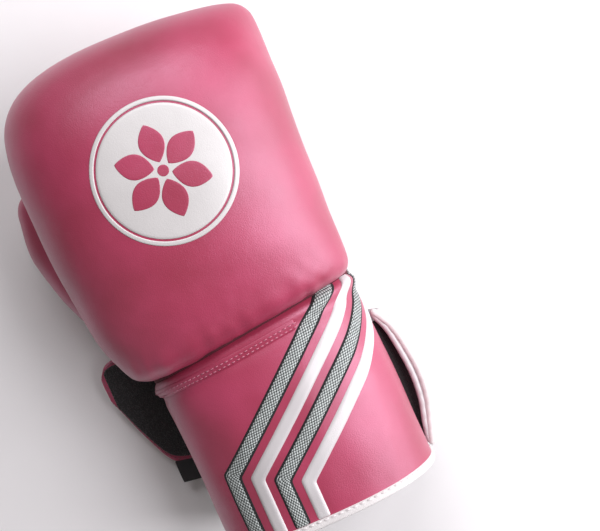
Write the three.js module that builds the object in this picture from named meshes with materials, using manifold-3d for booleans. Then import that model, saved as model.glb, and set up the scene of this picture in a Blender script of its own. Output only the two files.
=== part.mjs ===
// A right-hand boxing glove with a hook-and-loop wrist strap, lying palm down with the strap closed.
// Millimetres. +Y runs from the cuff's mouth to the knuckles, +Z out of the back of the hand, and the
// thumb is on -X. The glove rests on z = 0 on its finger roll and on the strap. Each layer of leather,
// foam and lining is a solid of its own, cut from a few lofted bodies, with a small gap to its neighbour.
import * as THREE from "three";
import { mergeVertices } from "three/addons/utils/BufferGeometryUtils.js";
import Module from "manifold-3d";

const wasm = await Module();
wasm.setup();

// ---- driving dimensions --------------------------------------------------------------------------------
const GLOVE_FRONT = 146; // y of the knuckle end of the fist
const GLOVE_MOUTH = -141; // y of the cuff's mouth
const WRIST_Y = -27; // y of the crease between fist and cuff, where x is 0
const SHEAR = 0.1; // the fist and the crease run further forward on the little finger's side
const LEATHER = 1.6;
const GAP = 0.4; // between two layers that touch
const PATCH = 1.0; // thickness of a sewn-on patch
const LINING = 1.2;
const OUTER_FOAM = 13; // depth of the outer knuckle foam under the leather
const GEL = 6; // thickness of the gel pad under it
const GEL_BOX = [-46, 52, 42, 112, 84, 130]; // where the gel pad lies: x, y and z ranges
const FOAM_SPLIT_Z = 66; // knuckle foam above, palm and finger roll foam below
const ROLL_Y = 25; // palm foam behind, finger roll foam ahead
const ROLL_SPLIT_Z = 33; // finger roll foam below, the foam wall round the fingers above
const PALM_BOX = [-44, 120, -60, ROLL_Y, -5, 58]; // where the fist's skin is mesh instead of leather
const HEEL = { x: 14, y: WRIST_Y + 1, radius: 27, piping: 30 }; // the half-round patch at the palm's heel
const ROUND_STEPS = 24; // facets round a body
const ROUND_EXPONENT = 2.4;

// Stations along y: [y, left x, right x, top z, bottom z, and the left x that the lower half draws in to].
const FIST_STATIONS = [
  [-48, -54, 71, 98, 24, -50],
  [-24, -66, 75.5, 103, 26, -58],
  [8, -74, 77.5, 115, 33, -62],
  [30, -79, 78.5, 120, 22, -50],
  [60, -82, 79, 124, -1, -43],
  [88, -82, 79, 124, -2, -42],
];
const FIST_CAP = { from: 88, left: 4, right: 6.5, height: 2.1, middle: 70 };
// The finger roll's rear end, which curls down in front of the palm.
const ROLL_STATIONS = [
  [20, -37, 66, 72, 5],
  [32, -41, 70, 76, -2],
  [64, -42, 71, 78, -2],
];
const ROLL_CAP = { from: 64, left: 2.6, right: 3, height: 2.2, middle: 50, front: 118 };
const CUFF_STATIONS = [
  [-150, -54, 76, 91, 4.4],
  [-90, -54, 76, 92, 4.4],
  [-20, -58, 74, 93, 5.5],
];
const CUFF_MIDDLE_Z = 45;
const HAND_STATIONS = [
  [-150, -41, 63, 79, 17],
  [-70, -40, 62, 80, 18],
  [-30, -38, 56, 82, 40],
  [10, -46, 58, 88, 45],
  [34, -40, 58, 90, 44],
  [56, -30, 58, 90, 22],
  [84, -28, 58, 90, 20],
];
const HAND_CAP = { from: 84, left: 3, right: 3, height: 2.4, middle: 52, length: 22 };

// The thumb's middle line, from inside the palm to the tip's centre.
// [x, y, z, radius across, radius in height].
const THUMB_PATH = [
  [-34, -26, 46, 21, 17],
  [-51, 2, 43, 22, 18],
  [-66, 34, 36, 22, 18.5],
  [-76.5, 66, 31, 21, 18.5],
  [-77.5, 88, 30, 18.5, 16.5],
];
const THUMB_TIP = 17; // how far the tip reaches past the last point
const THUMB_WALL = 9.5; // leather, foam and lining round the thumb's pocket
const THUMB_CLEARANCE = 2.6; // between the thumb's solids and the fist, for its hinge

const SPLIT_Z = 34; // the cuff's back panel ends here and its palm wings begin
const SLIT_X = 11; // middle of the palm opening
const SLIT_HALF = 8;
const BINDING = 5.5; // how far the mouth's binding reaches up the cuff
const WELT_FRONT = 7; // the welt's two edges, behind the crease
const WELT_REAR = 13;
const WING_SETBACK = 3; // the wings stop short of the fist, so that they can swing

// The strap's line in the x-z plane, from its root on the little finger's side to its tip, with its width.
// [x, z, y of the mouth's edge, y of the fist's edge].
const STRAP_LINE = [
  [78.5, 36, -135, -50],
  [82.5, 26, -135, -49.5],
  [81, 15, -134.5, -49],
  [73, 6.5, -133, -47.5],
  [60, 2.2, -131, -45.5],
  [42, 1.8, -127, -42],
  [20, 1.8, -120, -36],
  [-2, 1.8, -112.5, -29.5],
  [-22, 2.0, -105.5, -24],
];
const STRAP_TIP_LINE = [
  [-23, 2.0, -105, -24],
  [-42, 3.2, -99, -19],
  [-60, 6.5, -92.5, -14.5],
  [-74, 9.6, -86, -12],
  [-84, 11.6, -66, -11.5],
  [-91, 12.8, -46, -14],
  [-95, 13.5, -34, -20],
];
const STRAP_HALF = 1.8;
const HOOK = { half: 0.7, margin: 7 };
const LOOP_BOX = [-47, -8, -100, -36, -5, 20];
const SPLINT = { width: 16, thick: 1.6, z: 84.5, length: 84, y: -84 };
const SPLINT_X = [-9, 31];

const GRIP = { x: 12, y: 36, z: 25, radius: 8.5, length: 54 };
const EMBLEM = { x: 6, y: 67, ring: 38, ringInner: 35.7, disc: 34.4, petal: 15.5 };
const CHEVRON = { firstX: -32, stepX: 12.7, cornerY: -96, stepY: -5.8, slope: 0.8, grey: 9.2, white: 7.4 };

// ---- geometry helpers ---------------------------------------------------------------------------------
// A geometry's triangles as a watertight solid, which can be cut and joined.
function solidOf(geometry) {
  const bare = new THREE.BufferGeometry();
  bare.setAttribute("position", geometry.getAttribute("position"));
  bare.setIndex(geometry.getIndex());
  const merged = mergeVertices(bare, 1e-4);
  return new wasm.Manifold(
    new wasm.Mesh({
      numProp: 3,
      vertProperties: new Float32Array(merged.getAttribute("position").array),
      triVerts: new Uint32Array(merged.getIndex().array),
    }),
  );
}

// A solid back as a three.js geometry.
function geometryOf(solid) {
  const mesh = solid.getMesh();
  const positions = new Float32Array(mesh.numVert * 3);
  for (let i = 0; i < mesh.numVert; i++) {
    positions.set(mesh.vertProperties.subarray(i * mesh.numProp, i * mesh.numProp + 3), i * 3);
  }
  const geometry = new THREE.BufferGeometry();
  geometry.setAttribute("position", new THREE.BufferAttribute(positions, 3));
  geometry.setIndex(new THREE.BufferAttribute(mesh.triVerts, 1));
  geometry.computeVertexNormals();
  return geometry;
}

// The closed body through rings that all have the same number of points, with a fan on each end.
function loft(rings) {
  const count = rings[0].length;
  const points = rings.flat();
  const faces = [];
  for (let i = 0; i + 1 < rings.length; i++) {
    for (let j = 0; j < count; j++) {
      const a = i * count + j;
      const b = i * count + ((j + 1) % count);
      faces.push(a, b, a + count, b, b + count, a + count);
    }
  }
  for (const [ring, start, turn] of [[rings[0], 0, -1], [rings.at(-1), (rings.length - 1) * count, 1]]) {
    const middle = ring.reduce((sum, p) => sum.add(p), new THREE.Vector3()).divideScalar(count);
    points.push(middle);
    for (let j = 0; j < count; j++) {
      const a = start + j;
      const b = start + ((j + 1) % count);
      faces.push(...(turn > 0 ? [a, b, points.length - 1] : [b, a, points.length - 1]));
    }
  }
  const geometry = new THREE.BufferGeometry().setFromPoints(points);
  geometry.setIndex(faces);
  const solid = solidOf(geometry);
  if (solid.volume() >= 0) return solid;
  geometry.setIndex(faces.reverse());
  return solidOf(geometry);
}

// The value of column k of the stations at y, on a smooth curve that never overshoots them.
function stationValue(stations, y, k) {
  const last = stations.length - 1;
  const slope = (i) => (stations[i + 1][k] - stations[i][k]) / (stations[i + 1][0] - stations[i][0]);
  const tangent = (i) => {
    if (i === 0) return slope(0);
    if (i === last) return slope(last - 1);
    const [before, after] = [slope(i - 1), slope(i)];
    return before * after <= 0 ? 0 : (2 * before * after) / (before + after);
  };
  if (y <= stations[0][0]) return stations[0][k];
  if (y >= stations[last][0]) return stations[last][k];
  const i = stations.findIndex((s) => y < s[0]) - 1;
  const h = stations[i + 1][0] - stations[i][0];
  const t = (y - stations[i][0]) / h;
  const start = (1 + 2 * t) * (1 - t) ** 2 * stations[i][k] + t * (1 - t) ** 2 * h * tangent(i);
  return start + t * t * (3 - 2 * t) * stations[i + 1][k] + t * t * (t - 1) * h * tangent(i + 1);
}

// A ring in a plane of constant y: a rounded box between left, right, bottom and top, widest at middle.
// Below the middle its left side draws in towards lowLeft.
function ring(y, [left, right, top, bottom, lowLeft], middle, shear) {
  const rounded = (value) => Math.sign(value) * Math.abs(value) ** (2 / ROUND_EXPONENT);
  const points = [];
  const centre = (left + right) / 2;
  for (let j = 0; j < ROUND_STEPS; j++) {
    const angle = (2 * Math.PI * j) / ROUND_STEPS;
    const [c, s] = [Math.cos(angle), Math.sin(angle)];
    const drawn = s < 0 ? 1 - (1 + s) ** 3 : 0;
    const half = c > 0 ? right - centre : centre - THREE.MathUtils.lerp(left, lowLeft, drawn);
    const tall = s > 0 ? top - middle : middle - bottom;
    const x = centre + rounded(c) * half;
    points.push(new THREE.Vector3(x, y + shear * x, middle + rounded(s) * tall));
  }
  return points;
}

// The body through the stations, shrunk by inset, with a rounded cap that reaches front if cap is given.
function body(stations, inset, options = {}) {
  const { start = null, cap = null, front = 0, middle = null, steps = 10, shear = 0 } = options;
  const rings = [];
  const from = start ?? stations[0][0];
  const to = stations.at(-1)[0];
  const at = (y, k) => stationValue(stations, y, k);
  const add = (y, wideLeft, wideRight, high) => {
    const z = middle ?? (at(y, 3) + at(y, 4)) / 2;
    const lowLeft = stations[0].length > 5 ? at(y, 5) : at(y, 1);
    const sides = [(at(y, 1) + inset) * wideLeft, (at(y, 2) - inset) * wideRight];
    const heights = [z + (at(y, 3) - inset - z) * high, z - (z - at(y, 4) - inset) * high];
    rings.push(ring(y, [...sides, ...heights, (lowLeft + inset) * wideLeft], z, shear));
  };
  for (let i = 0; i <= steps; i++) add(from + ((to - from) * i) / steps, 1, 1, 1);
  const CAP_RINGS = 6;
  for (let i = 1; cap && i <= CAP_RINGS; i++) {
    const t = Math.min(0.995, Math.sin((Math.PI / 2) * (i / CAP_RINGS)));
    const share = (power) => (1 - t ** power) ** (1 / power);
    const y = cap.from + (front - inset - cap.from) * t;
    add(y, share(cap.left), share(cap.right), share(cap.height));
  }
  return loft(rings);
}

function box(x0, x1, y0, y1, z0, z1) {
  const geometry = new THREE.BoxGeometry(x1 - x0, y1 - y0, z1 - z0);
  return solidOf(geometry.translate((x0 + x1) / 2, (y0 + y1) / 2, (z0 + z1) / 2));
}
const REACH = 400; // larger than the glove, for cutting shapes that run right past it
const above = (z) => box(-REACH, REACH, -REACH, REACH, z, REACH);
const below = (z) => box(-REACH, REACH, -REACH, REACH, -REACH, z);

// Everything on the fist's side of the slanted crease, moved along y by offset.
function ahead(offset) {
  const slab = new THREE.BoxGeometry(2 * REACH, REACH, 2 * REACH).translate(0, REACH / 2, 0);
  const slant = new THREE.Matrix4().set(1, 0, 0, 0, SHEAR, 1, 0, WRIST_Y + offset, 0, 0, 1, 0, 0, 0, 0, 1);
  return solidOf(slab.applyMatrix4(slant));
}

// A flat outline in x and y, as a tall prism between two heights.
function prism(outline, low, high) {
  const shape = new THREE.Shape(outline.map(([x, y]) => new THREE.Vector2(x, y)));
  const geometry = new THREE.ExtrudeGeometry(shape, { depth: high - low, bevelEnabled: false });
  return solidOf(geometry.translate(0, 0, low));
}

function disc(x, y, radius, low, high, segments = 48) {
  const geometry = new THREE.CylinderGeometry(radius, radius, high - low, segments);
  return solidOf(geometry.rotateX(Math.PI / 2).translate(x, y, (low + high) / 2));
}

// A cut can leave a crumb where two surfaces nearly meet; the part is the biggest piece.
const largest = (solid) =>
  solid.decompose().reduce((best, piece) => (piece.volume() > best.volume() ? piece : best));

// ---- the lofted bodies, each shrunk by an inset -------------------------------------------------------
const fistBody = (inset) =>
  body(FIST_STATIONS, inset, { cap: FIST_CAP, front: GLOVE_FRONT, middle: FIST_CAP.middle, shear: SHEAR });
const rollBody = (inset) =>
  body(ROLL_STATIONS, inset, {
    start: ROLL_STATIONS[0][0] + inset,
    cap: ROLL_CAP,
    front: ROLL_CAP.front,
    middle: ROLL_CAP.middle,
    steps: 5,
    shear: SHEAR,
  });
const fist = (inset) => fistBody(inset).add(rollBody(inset)).intersect(above(Math.max(inset, 0)));
const cuff = (inset) => body(CUFF_STATIONS, inset, { middle: CUFF_MIDDLE_Z, steps: 5 });
const hand = (inset) =>
  body(HAND_STATIONS, inset, { cap: HAND_CAP, front: HAND_CAP.from + HAND_CAP.length, steps: 12 });

// The thumb: elliptical rings square to its middle line, and a round tip.
function thumb(inset) {
  const line = new THREE.CatmullRomCurve3(THUMB_PATH.map(([x, y, z]) => new THREE.Vector3(x, y, z)));
  const STEPS = 9;
  const SEGMENTS = 16;
  const rings = [];
  const add = (centre, along, across, tall) => {
    const side = new THREE.Vector3(along.y, -along.x, 0).normalize();
    const up = new THREE.Vector3().crossVectors(side, along).normalize();
    const points = [];
    for (let j = 0; j < SEGMENTS; j++) {
      const angle = (2 * Math.PI * j) / SEGMENTS;
      const point = centre.clone().addScaledVector(side, across * Math.cos(angle));
      points.push(point.addScaledVector(up, tall * Math.sin(angle)));
    }
    rings.push(points);
  };
  const radius = (t, k) => {
    const place = t * (THUMB_PATH.length - 1);
    const i = Math.min(THUMB_PATH.length - 2, Math.floor(place));
    return THREE.MathUtils.lerp(THUMB_PATH[i][k], THUMB_PATH[i + 1][k], place - i) - inset;
  };
  for (let i = 0; i <= STEPS; i++) {
    const t = i / STEPS;
    add(line.getPoint(t), line.getTangent(t), radius(t, 3), radius(t, 4));
  }
  const along = line.getTangent(1);
  for (const angle of [0.35, 0.7, 1.05, 1.35]) {
    const centre = line.getPoint(1).addScaledVector(along, (THUMB_TIP - inset) * Math.sin(angle));
    add(centre, along, radius(1, 3) * Math.cos(angle), radius(1, 4) * Math.cos(angle));
  }
  return loft(rings);
}

// A flat band: half its thickness either side of a line in x-z, and between two edges in y.
function band(line, half, margin = 0) {
  const rings = line.map(([x, z, low, high], i) => {
    const before = line[Math.max(0, i - 1)];
    const after = line[Math.min(line.length - 1, i + 1)];
    const along = new THREE.Vector2(after[0] - before[0], after[1] - before[1]).normalize();
    const [nx, nz] = [-along.y * half, along.x * half];
    const corners = [[x + nx, low + margin, z + nz], [x + nx, high - margin, z + nz],
      [x - nx, high - margin, z - nz], [x - nx, low + margin, z - nz]];
    return corners.map((p) => new THREE.Vector3(...p));
  });
  return loft(rings);
}

// ---- the parts ----------------------------------------------------------------------------------------
const fistSkin = fist(0).subtract(fist(LEATHER)).intersect(ahead(0));
const fistInside = fist(LEATHER + GAP).intersect(ahead(0));
const handSpace = hand(0);
const handLayer = hand(-LINING);
const thumbPocket = thumb(THUMB_WALL);
const thumbTunnel = thumb(THUMB_WALL - LINING - GAP);
const palmRegion = box(...PALM_BOX);
const [palmX0, palmX1, palmY0, palmY1, palmZ0, palmZ1] = PALM_BOX;
const meshRegion = box(palmX0 + 0.6, palmX1, palmY0, palmY1 - 0.6, palmZ0, palmZ1 - 0.6);

const heelDisc = (radius) => disc(HEEL.x, HEEL.y, radius, 0, 58);
const heelPiping = heelDisc(HEEL.piping).subtract(heelDisc(HEEL.radius + GAP));
const onFist = (low, high) => fist(-high).subtract(fist(-low));

const knuckleRegion = above(FOAM_SPLIT_Z);
const [gelX0, gelX1, gelY0, gelY1, gelZ0, gelZ1] = GEL_BOX;
const gelRoom = box(gelX0 - GAP, gelX1 + GAP, gelY0 - GAP, gelY1 + GAP, gelZ0 - 1, gelZ1);
const inside = fistInside.subtract(hand(-LINING - GAP)).subtract(thumbTunnel);
const underOuterFoam = LEATHER + OUTER_FOAM;
const outerFoam = inside.subtract(fist(underOuterFoam)).intersect(knuckleRegion);
const gelPad = fist(underOuterFoam + GAP).subtract(fist(underOuterFoam + GEL)).intersect(box(...GEL_BOX));
const gelPocket = fist(underOuterFoam).subtract(fist(underOuterFoam + GEL + GAP)).intersect(gelRoom);
const innerFoam = inside
  .intersect(fist(underOuterFoam + GAP))
  .intersect(knuckleRegion)
  .subtract(gelPocket);
const lowerFoam = inside.intersect(below(FOAM_SPLIT_Z - GAP));
const rollRegion = box(-REACH, REACH, ROLL_Y, REACH, -5, 100);
const behindRoll = box(-REACH, REACH, -REACH, ROLL_Y - GAP, -5, 100);

// The grip bar lies across the foam in front of the palm, in a slot that is open towards the hand.
const gripShape = (spare) =>
  solidOf(
    new THREE.CapsuleGeometry(GRIP.radius + spare, GRIP.length, 5, 14)
      .rotateZ(Math.PI / 2)
      .translate(GRIP.x, GRIP.y, GRIP.z),
  );
const gripBar = gripShape(0);
const gripSlot = gripShape(GAP).add(
  box(GRIP.x - GRIP.length / 2, GRIP.x + GRIP.length / 2, GRIP.y - 6, GRIP.y + 6, GRIP.z, GRIP.z + 26),
);

const rollFoam = lowerFoam.intersect(rollRegion).subtract(gripSlot);

// The cuff, from the crease to the mouth.
const cuffRange = (offset) =>
  box(-REACH, REACH, GLOVE_MOUTH + 2.2, REACH, -5, REACH).subtract(ahead(-offset));
const backRegion = above(SPLIT_Z).intersect(cuffRange(0.8));
const wingRange = below(SPLIT_Z - 0.6).intersect(cuffRange(WING_SETBACK));
const thumbHalf = box(-REACH, SLIT_X - SLIT_HALF, -REACH, REACH, -5, REACH);
const littleHalf = box(SLIT_X + SLIT_HALF, REACH, -REACH, REACH, -5, REACH);
const thumbWing = wingRange.intersect(thumbHalf);
const littleWing = wingRange.intersect(littleHalf);
const cuffSkin = cuff(0).subtract(cuff(LEATHER));
const cuffHollow = hand(-LINING - GAP);
const cuffFoam = cuff(LEATHER + GAP).subtract(cuffHollow);
const onCuff = (low, high) => cuff(-high).subtract(cuff(-low));

// The binding folds over the mouth's edge: a channel that the cuff's layers stand in.
const mouthSlab = (y0, y1) => box(-REACH, REACH, y0, y1, -5, REACH);
const channel = cuff(-1.2)
  .subtract(hand(1.2))
  .intersect(mouthSlab(GLOVE_MOUTH, GLOVE_MOUTH + BINDING))
  .subtract(cuff(-GAP).subtract(hand(GAP)).intersect(mouthSlab(GLOVE_MOUTH + 1.8, REACH)));

const channelTop = channel.intersect(above(SPLIT_Z));
const channelBottom = channel.intersect(below(SPLIT_Z - 0.6));

// A flat stiffener in the cuff's back. With room around it, it is the pocket, which is open at the mouth.
function splint(x, room = 0) {
  const [wide, tall] = [SPLINT.width / 2 + room, SPLINT.thick / 2 + room];
  const rear = room > 0 ? -REACH : SPLINT.y - SPLINT.length / 2;
  return box(x - wide, x + wide, rear, SPLINT.y + SPLINT.length / 2 + room, SPLINT.z - tall, SPLINT.z + tall);
}
const splintPockets = splint(SPLINT_X[0], GAP).add(splint(SPLINT_X[1], GAP));

// A stripe that comes down the cuff's back to a corner and then runs straight to the mouth.
function stripe(index, width) {
  const x = CHEVRON.firstX + CHEVRON.stepX * index;
  const y = CHEVRON.cornerY + CHEVRON.stepY * index;
  const half = width / 2;
  const lean = half * (Math.hypot(1, CHEVRON.slope) - CHEVRON.slope);
  const far = REACH / 2;
  const outline = [
    [x - half, y - far], [x + half, y - far], [x + half, y - lean],
    [x + half + far, y - lean + far * CHEVRON.slope], [x - half + far, y + lean + far * CHEVRON.slope],
    [x - half, y + lean],
  ];
  return onCuff(GAP, PATCH + GAP)
    .intersect(prism(outline, 50, 110))
    .intersect(cuffRange(1))
    .intersect(mouthSlab(GLOVE_MOUTH + BINDING + 0.6, REACH));
}

// The welt runs from the thumb's side to the first stripe.
const weltSlab = ahead(-WELT_REAR).subtract(ahead(-WELT_FRONT));
const weltEnd = CHEVRON.firstX + (WRIST_Y - WELT_REAR - CHEVRON.cornerY) / CHEVRON.slope - 7;
const wristWelt = onCuff(GAP, 2.2)
  .intersect(weltSlab)
  .intersect(above(SPLIT_Z + 2))
  .intersect(box(-REACH, weltEnd, -REACH, REACH, -5, REACH));

// A six-petal rosette: each petal is where two equal discs cross.
function rosette(low, high) {
  const petals = [];
  for (let i = 0; i < 6; i++) {
    const angle = (Math.PI / 3) * i + Math.PI / 6;
    const reach = EMBLEM.petal;
    const spot = (turn) => [
      EMBLEM.x + reach * Math.cos(angle + turn),
      EMBLEM.y + reach * Math.sin(angle + turn),
    ];
    const [a, b] = [spot(Math.PI / 6 + 0.16), spot(-Math.PI / 6 - 0.16)];
    petals.push(disc(...a, reach, low, high, 40).intersect(disc(...b, reach, low, high, 40)));
  }
  const hub = disc(EMBLEM.x, EMBLEM.y, 4, low, high, 24);
  return petals.reduce((sum, petal) => sum.add(petal), hub);
}

const thumbSkin = thumb(0).subtract(thumb(LEATHER));
const thumbClear = fist(-THUMB_CLEARANCE).add(box(-REACH, REACH, -REACH, -24, -5, REACH));
const thumbFoam = thumb(LEATHER + GAP).subtract(thumbTunnel).subtract(thumbClear);
const thumbLining = thumb(THUMB_WALL - LINING).subtract(thumbPocket).subtract(thumbClear);
// The seam runs over the top and the underside of the thumb, on an upright plane through its ends.
const seamTurn = new THREE.Matrix4()
  .makeTranslation(-72, 60, 0)
  .multiply(new THREE.Matrix4().makeRotationZ(0.17));
const seamSide = (sign) =>
  solidOf(
    new THREE.BoxGeometry(REACH, REACH, REACH)
      .translate(sign * (REACH / 2 + GAP / 2), 0, 0)
      .applyMatrix4(seamTurn),
  );

const tether = prism(
  [[-84, 84], [-69, 84], [-62, 112], [-75, 114]], 49.3, 51.3,
).subtract(fist(-GAP));

const gusset = band(
  [[75.2, 31.5, -132, -53], [76.6, 28.6, -132, -53], [78.6, 28.8, -132, -53]], 0.7,
).subtract(cuff(-GAP));

const strap = band(STRAP_LINE, STRAP_HALF);
const strapTip = band(STRAP_TIP_LINE, STRAP_HALF);
const hookRise = STRAP_HALF + GAP + HOOK.half;
const hookLine = STRAP_TIP_LINE.slice(0, -1).map(([x, z, low, high]) => [x, z + hookRise, low, high]);
const hookPatch = band(hookLine, HOOK.half, HOOK.margin);
const pullTab = band([[-74, 8.6, -101, -88.6], [-60, 5.6, -105, -93.2]], 1.1);
const loopPatch = onCuff(GAP, 1.4).intersect(box(...LOOP_BOX));

// ---- materials ----------------------------------------------------------------------------------------
const material = (color, roughness, metalness = 0) =>
  new THREE.MeshStandardMaterial({ color, roughness, metalness });
const pink = material(0xc4557f, 0.38);
const white = material(0xe6e4e2, 0.45);
const whiteMesh = material(0xc9cfce, 0.85);
const greyMesh = material(0x7f8685, 0.8);
const black = material(0x161618, 0.9);
const foam = material(0xe9e0c8, 0.95);
const gel = material(0x8fb7d6, 0.25);
const plastic = material(0xd8d8d2, 0.5);

const patch = onFist(GAP, PATCH + GAP);
const badge = (radius) => disc(EMBLEM.x, EMBLEM.y, radius, 90, 140);
const liningRing = handLayer.subtract(handSpace);
const PARTS = [
  ["fist_shell", fistSkin.subtract(palmRegion).subtract(thumbTunnel), pink],
  ["palm_mesh_panel", fistSkin.intersect(meshRegion).subtract(thumbTunnel), whiteMesh],
  ["palm_heel_patch", patch.intersect(heelDisc(HEEL.radius)).intersect(ahead(1)), pink],
  ["heel_patch_piping", onFist(GAP, 2.2).intersect(heelPiping).intersect(ahead(1)), white],
  ["knuckle_foam_outer", outerFoam, foam],
  ["knuckle_gel_pad", gelPad, gel],
  ["knuckle_foam_inner", innerFoam, foam],
  ["finger_roll_foam", rollFoam.intersect(below(ROLL_SPLIT_Z - GAP)), foam],
  ["finger_wall_foam", rollFoam.intersect(above(ROLL_SPLIT_Z)), foam],
  ["palm_foam", lowerFoam.intersect(behindRoll), foam],
  ["hand_lining", liningRing.subtract(thumbTunnel).intersect(ahead(0)), black],
  ["grip_bar", gripBar, foam],
  ["emblem_disc", patch.intersect(badge(EMBLEM.disc)), white],
  ["emblem_ring", patch.intersect(badge(EMBLEM.ring)).subtract(badge(EMBLEM.ringInner)), white],
  ["emblem_rosette", onFist(PATCH + 2 * GAP, PATCH + 2 * GAP + 0.6).intersect(rosette(90, 140)), pink],
  ["wrist_welt", wristWelt, pink],
  ["cuff_back_panel", cuffSkin.intersect(backRegion), pink],
  ["cuff_back_foam", cuffFoam.intersect(backRegion).subtract(splintPockets), foam],
  ["cuff_back_lining", liningRing.intersect(backRegion), black],
  ["wrist_splint_thumb_side", splint(SPLINT_X[0]), plastic],
  ["wrist_splint_little_side", splint(SPLINT_X[1]), plastic],
  ["cuff_back_binding", channelTop, white],
  ["chevron_mesh_front", stripe(0, CHEVRON.grey), greyMesh],
  ["chevron_white_front", stripe(1, CHEVRON.white), white],
  ["chevron_mesh_rear", stripe(2, CHEVRON.grey), greyMesh],
  ["chevron_white_rear", stripe(3, CHEVRON.white), white],
  ["strap_gusset", gusset, black],
  ["thumb_tether", tether, pink],
  ["thumb_shell_outer", thumbSkin.intersect(seamSide(-1)).subtract(thumbClear), pink],
  ["thumb_shell_inner", thumbSkin.intersect(seamSide(1)).subtract(thumbClear), pink],
  ["thumb_foam", thumbFoam, foam],
  ["thumb_lining", thumbLining, black],
  ["thumb_wing_panel", cuffSkin.intersect(thumbWing), white],
  ["thumb_wing_foam", cuffFoam.intersect(thumbWing), foam],
  ["thumb_wing_lining", liningRing.intersect(thumbWing), black],
  ["thumb_wing_binding", channelBottom.intersect(thumbHalf), white],
  ["loop_patch", loopPatch, black],
  ["little_wing_panel", cuffSkin.intersect(littleWing), white],
  ["little_wing_foam", cuffFoam.intersect(littleWing), foam],
  ["little_wing_lining", liningRing.intersect(littleWing), black],
  ["little_wing_binding", channelBottom.intersect(littleHalf), white],
  ["strap", strap, white],
  ["strap_tip", strapTip, pink],
  ["hook_patch", hookPatch, black],
  ["pull_tab", pullTab, black],
];

const glove = new THREE.Group();
for (const [name, solid, finish] of PARTS) {
  const mesh = new THREE.Mesh(geometryOf(largest(solid)), finish);
  mesh.name = name;
  glove.add(mesh);
}

// The origin is the middle of the bounding box's floor.
const bounds = new THREE.Box3().setFromObject(glove);
const centre = bounds.getCenter(new THREE.Vector3());
glove.position.set(-centre.x, -centre.y, -bounds.min.z);

export default glove;
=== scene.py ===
import math

import bmesh
import bpy
import numpy as np
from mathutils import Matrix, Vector
from mathutils.bvhtree import BVHTree


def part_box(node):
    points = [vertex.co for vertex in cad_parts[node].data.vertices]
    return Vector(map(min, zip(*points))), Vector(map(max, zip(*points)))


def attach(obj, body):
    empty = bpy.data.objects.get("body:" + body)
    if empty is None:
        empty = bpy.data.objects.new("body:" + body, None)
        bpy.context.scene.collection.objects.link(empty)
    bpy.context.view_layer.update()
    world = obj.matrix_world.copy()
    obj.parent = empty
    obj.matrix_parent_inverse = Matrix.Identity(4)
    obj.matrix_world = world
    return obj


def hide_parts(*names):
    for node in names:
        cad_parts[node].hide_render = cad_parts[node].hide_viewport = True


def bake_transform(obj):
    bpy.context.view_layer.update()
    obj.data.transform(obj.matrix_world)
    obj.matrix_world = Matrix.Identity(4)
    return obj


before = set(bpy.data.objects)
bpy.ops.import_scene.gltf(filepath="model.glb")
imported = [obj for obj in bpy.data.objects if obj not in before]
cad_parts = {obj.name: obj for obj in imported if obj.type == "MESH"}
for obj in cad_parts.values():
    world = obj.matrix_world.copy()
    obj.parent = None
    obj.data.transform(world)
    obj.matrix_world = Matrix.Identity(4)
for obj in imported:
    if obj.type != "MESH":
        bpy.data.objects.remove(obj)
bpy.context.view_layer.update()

# Shapes are worked out in millimetres, with +Y from the cuff's mouth to the knuckles, +Z out of the back of
# the hand and the thumb on -X. ORIGIN takes them to the row frame, from where the badge's middle is there.
BADGE_X, BADGE_Y = 6.0, 67.0
DISC_LOW, DISC_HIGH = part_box("emblem_disc")
DISC_MIDDLE = (DISC_LOW + DISC_HIGH) / 2
ORIGIN = np.array([DISC_MIDDLE.x - BADGE_X / 1000, DISC_MIDDLE.y - BADGE_Y / 1000, 0.0])

FRONT, MOUTH, WRIST = 148.5, -141.0, -27.0
CAP = 88.0  # where the fist starts to round off towards its front
SHEAR = 0.1  # how far the crease and the fist slant forward, for each millimetre towards +X
FIST = [  # y, left x, right x, top z, bottom z, left x that the lower half draws in to
    (-48, -50, 74, 98, 24, -47), (-24, -61, 76.2, 104, 26, -55), (8, -72, 77.3, 115, 33, -61),
    (30, -74, 78.3, 120, 22, -50), (60, -76.5, 79.8, 124, -1, -43), (88, -77, 81.5, 124, -2, -42),
]
CUFF = [(-150, -54, 76, 91, 4.4), (-90, -54, 76, 92, 4.4), (-20, -58, 74, 93, 5.5)]
HAND = [
    (-150, -41, 63, 79, 17), (-70, -40, 62, 80, 18), (-30, -38, 56, 82, 40), (10, -46, 58, 88, 45),
    (34, -40, 58, 90, 44), (56, -30, 58, 90, 22), (84, -28, 58, 90, 20),
]
CUFF_MIDDLE, FIST_MIDDLE = 45.0, 70.0
CUFF_CENTRE = 11.0
SPLIT, HALF_GAP = 34.0, 0.8  # height where the cuff's back panel meets its palm wings, and half the gap there
SLIT, SLIT_HALF = 11.0, 8.0
BINDING = 5.5
DOWN, UP = (0, 0, -1), (0, 0, 1)


# ---- numbers ----------------------------------------------------------------------------------------------
def station(table, y, k):
    """Column k of the stations at y, on a smooth curve that never overshoots them."""
    t = np.array(table, float)
    ys, v = t[:, 0], t[:, k]
    h, d = np.diff(ys), np.diff(v) / np.diff(ys)
    m = np.empty(len(v))
    m[0], m[-1] = d[0], d[-1]
    both = d[:-1] * d[1:]
    m[1:-1] = np.where(both > 0, 2 * both / np.where(d[:-1] + d[1:] == 0, 1, d[:-1] + d[1:]), 0)
    y = np.clip(np.asarray(y, float), ys[0], ys[-1])
    i = np.clip(np.searchsorted(ys, y, side="right") - 1, 0, len(h) - 1)
    s = (y - ys[i]) / h[i]
    a = (1 + 2 * s) * (1 - s) ** 2 * v[i] + s * (1 - s) ** 2 * h[i] * m[i]
    return a + s * s * (3 - 2 * s) * v[i + 1] + s * s * (s - 1) * h[i] * m[i + 1]


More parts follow.
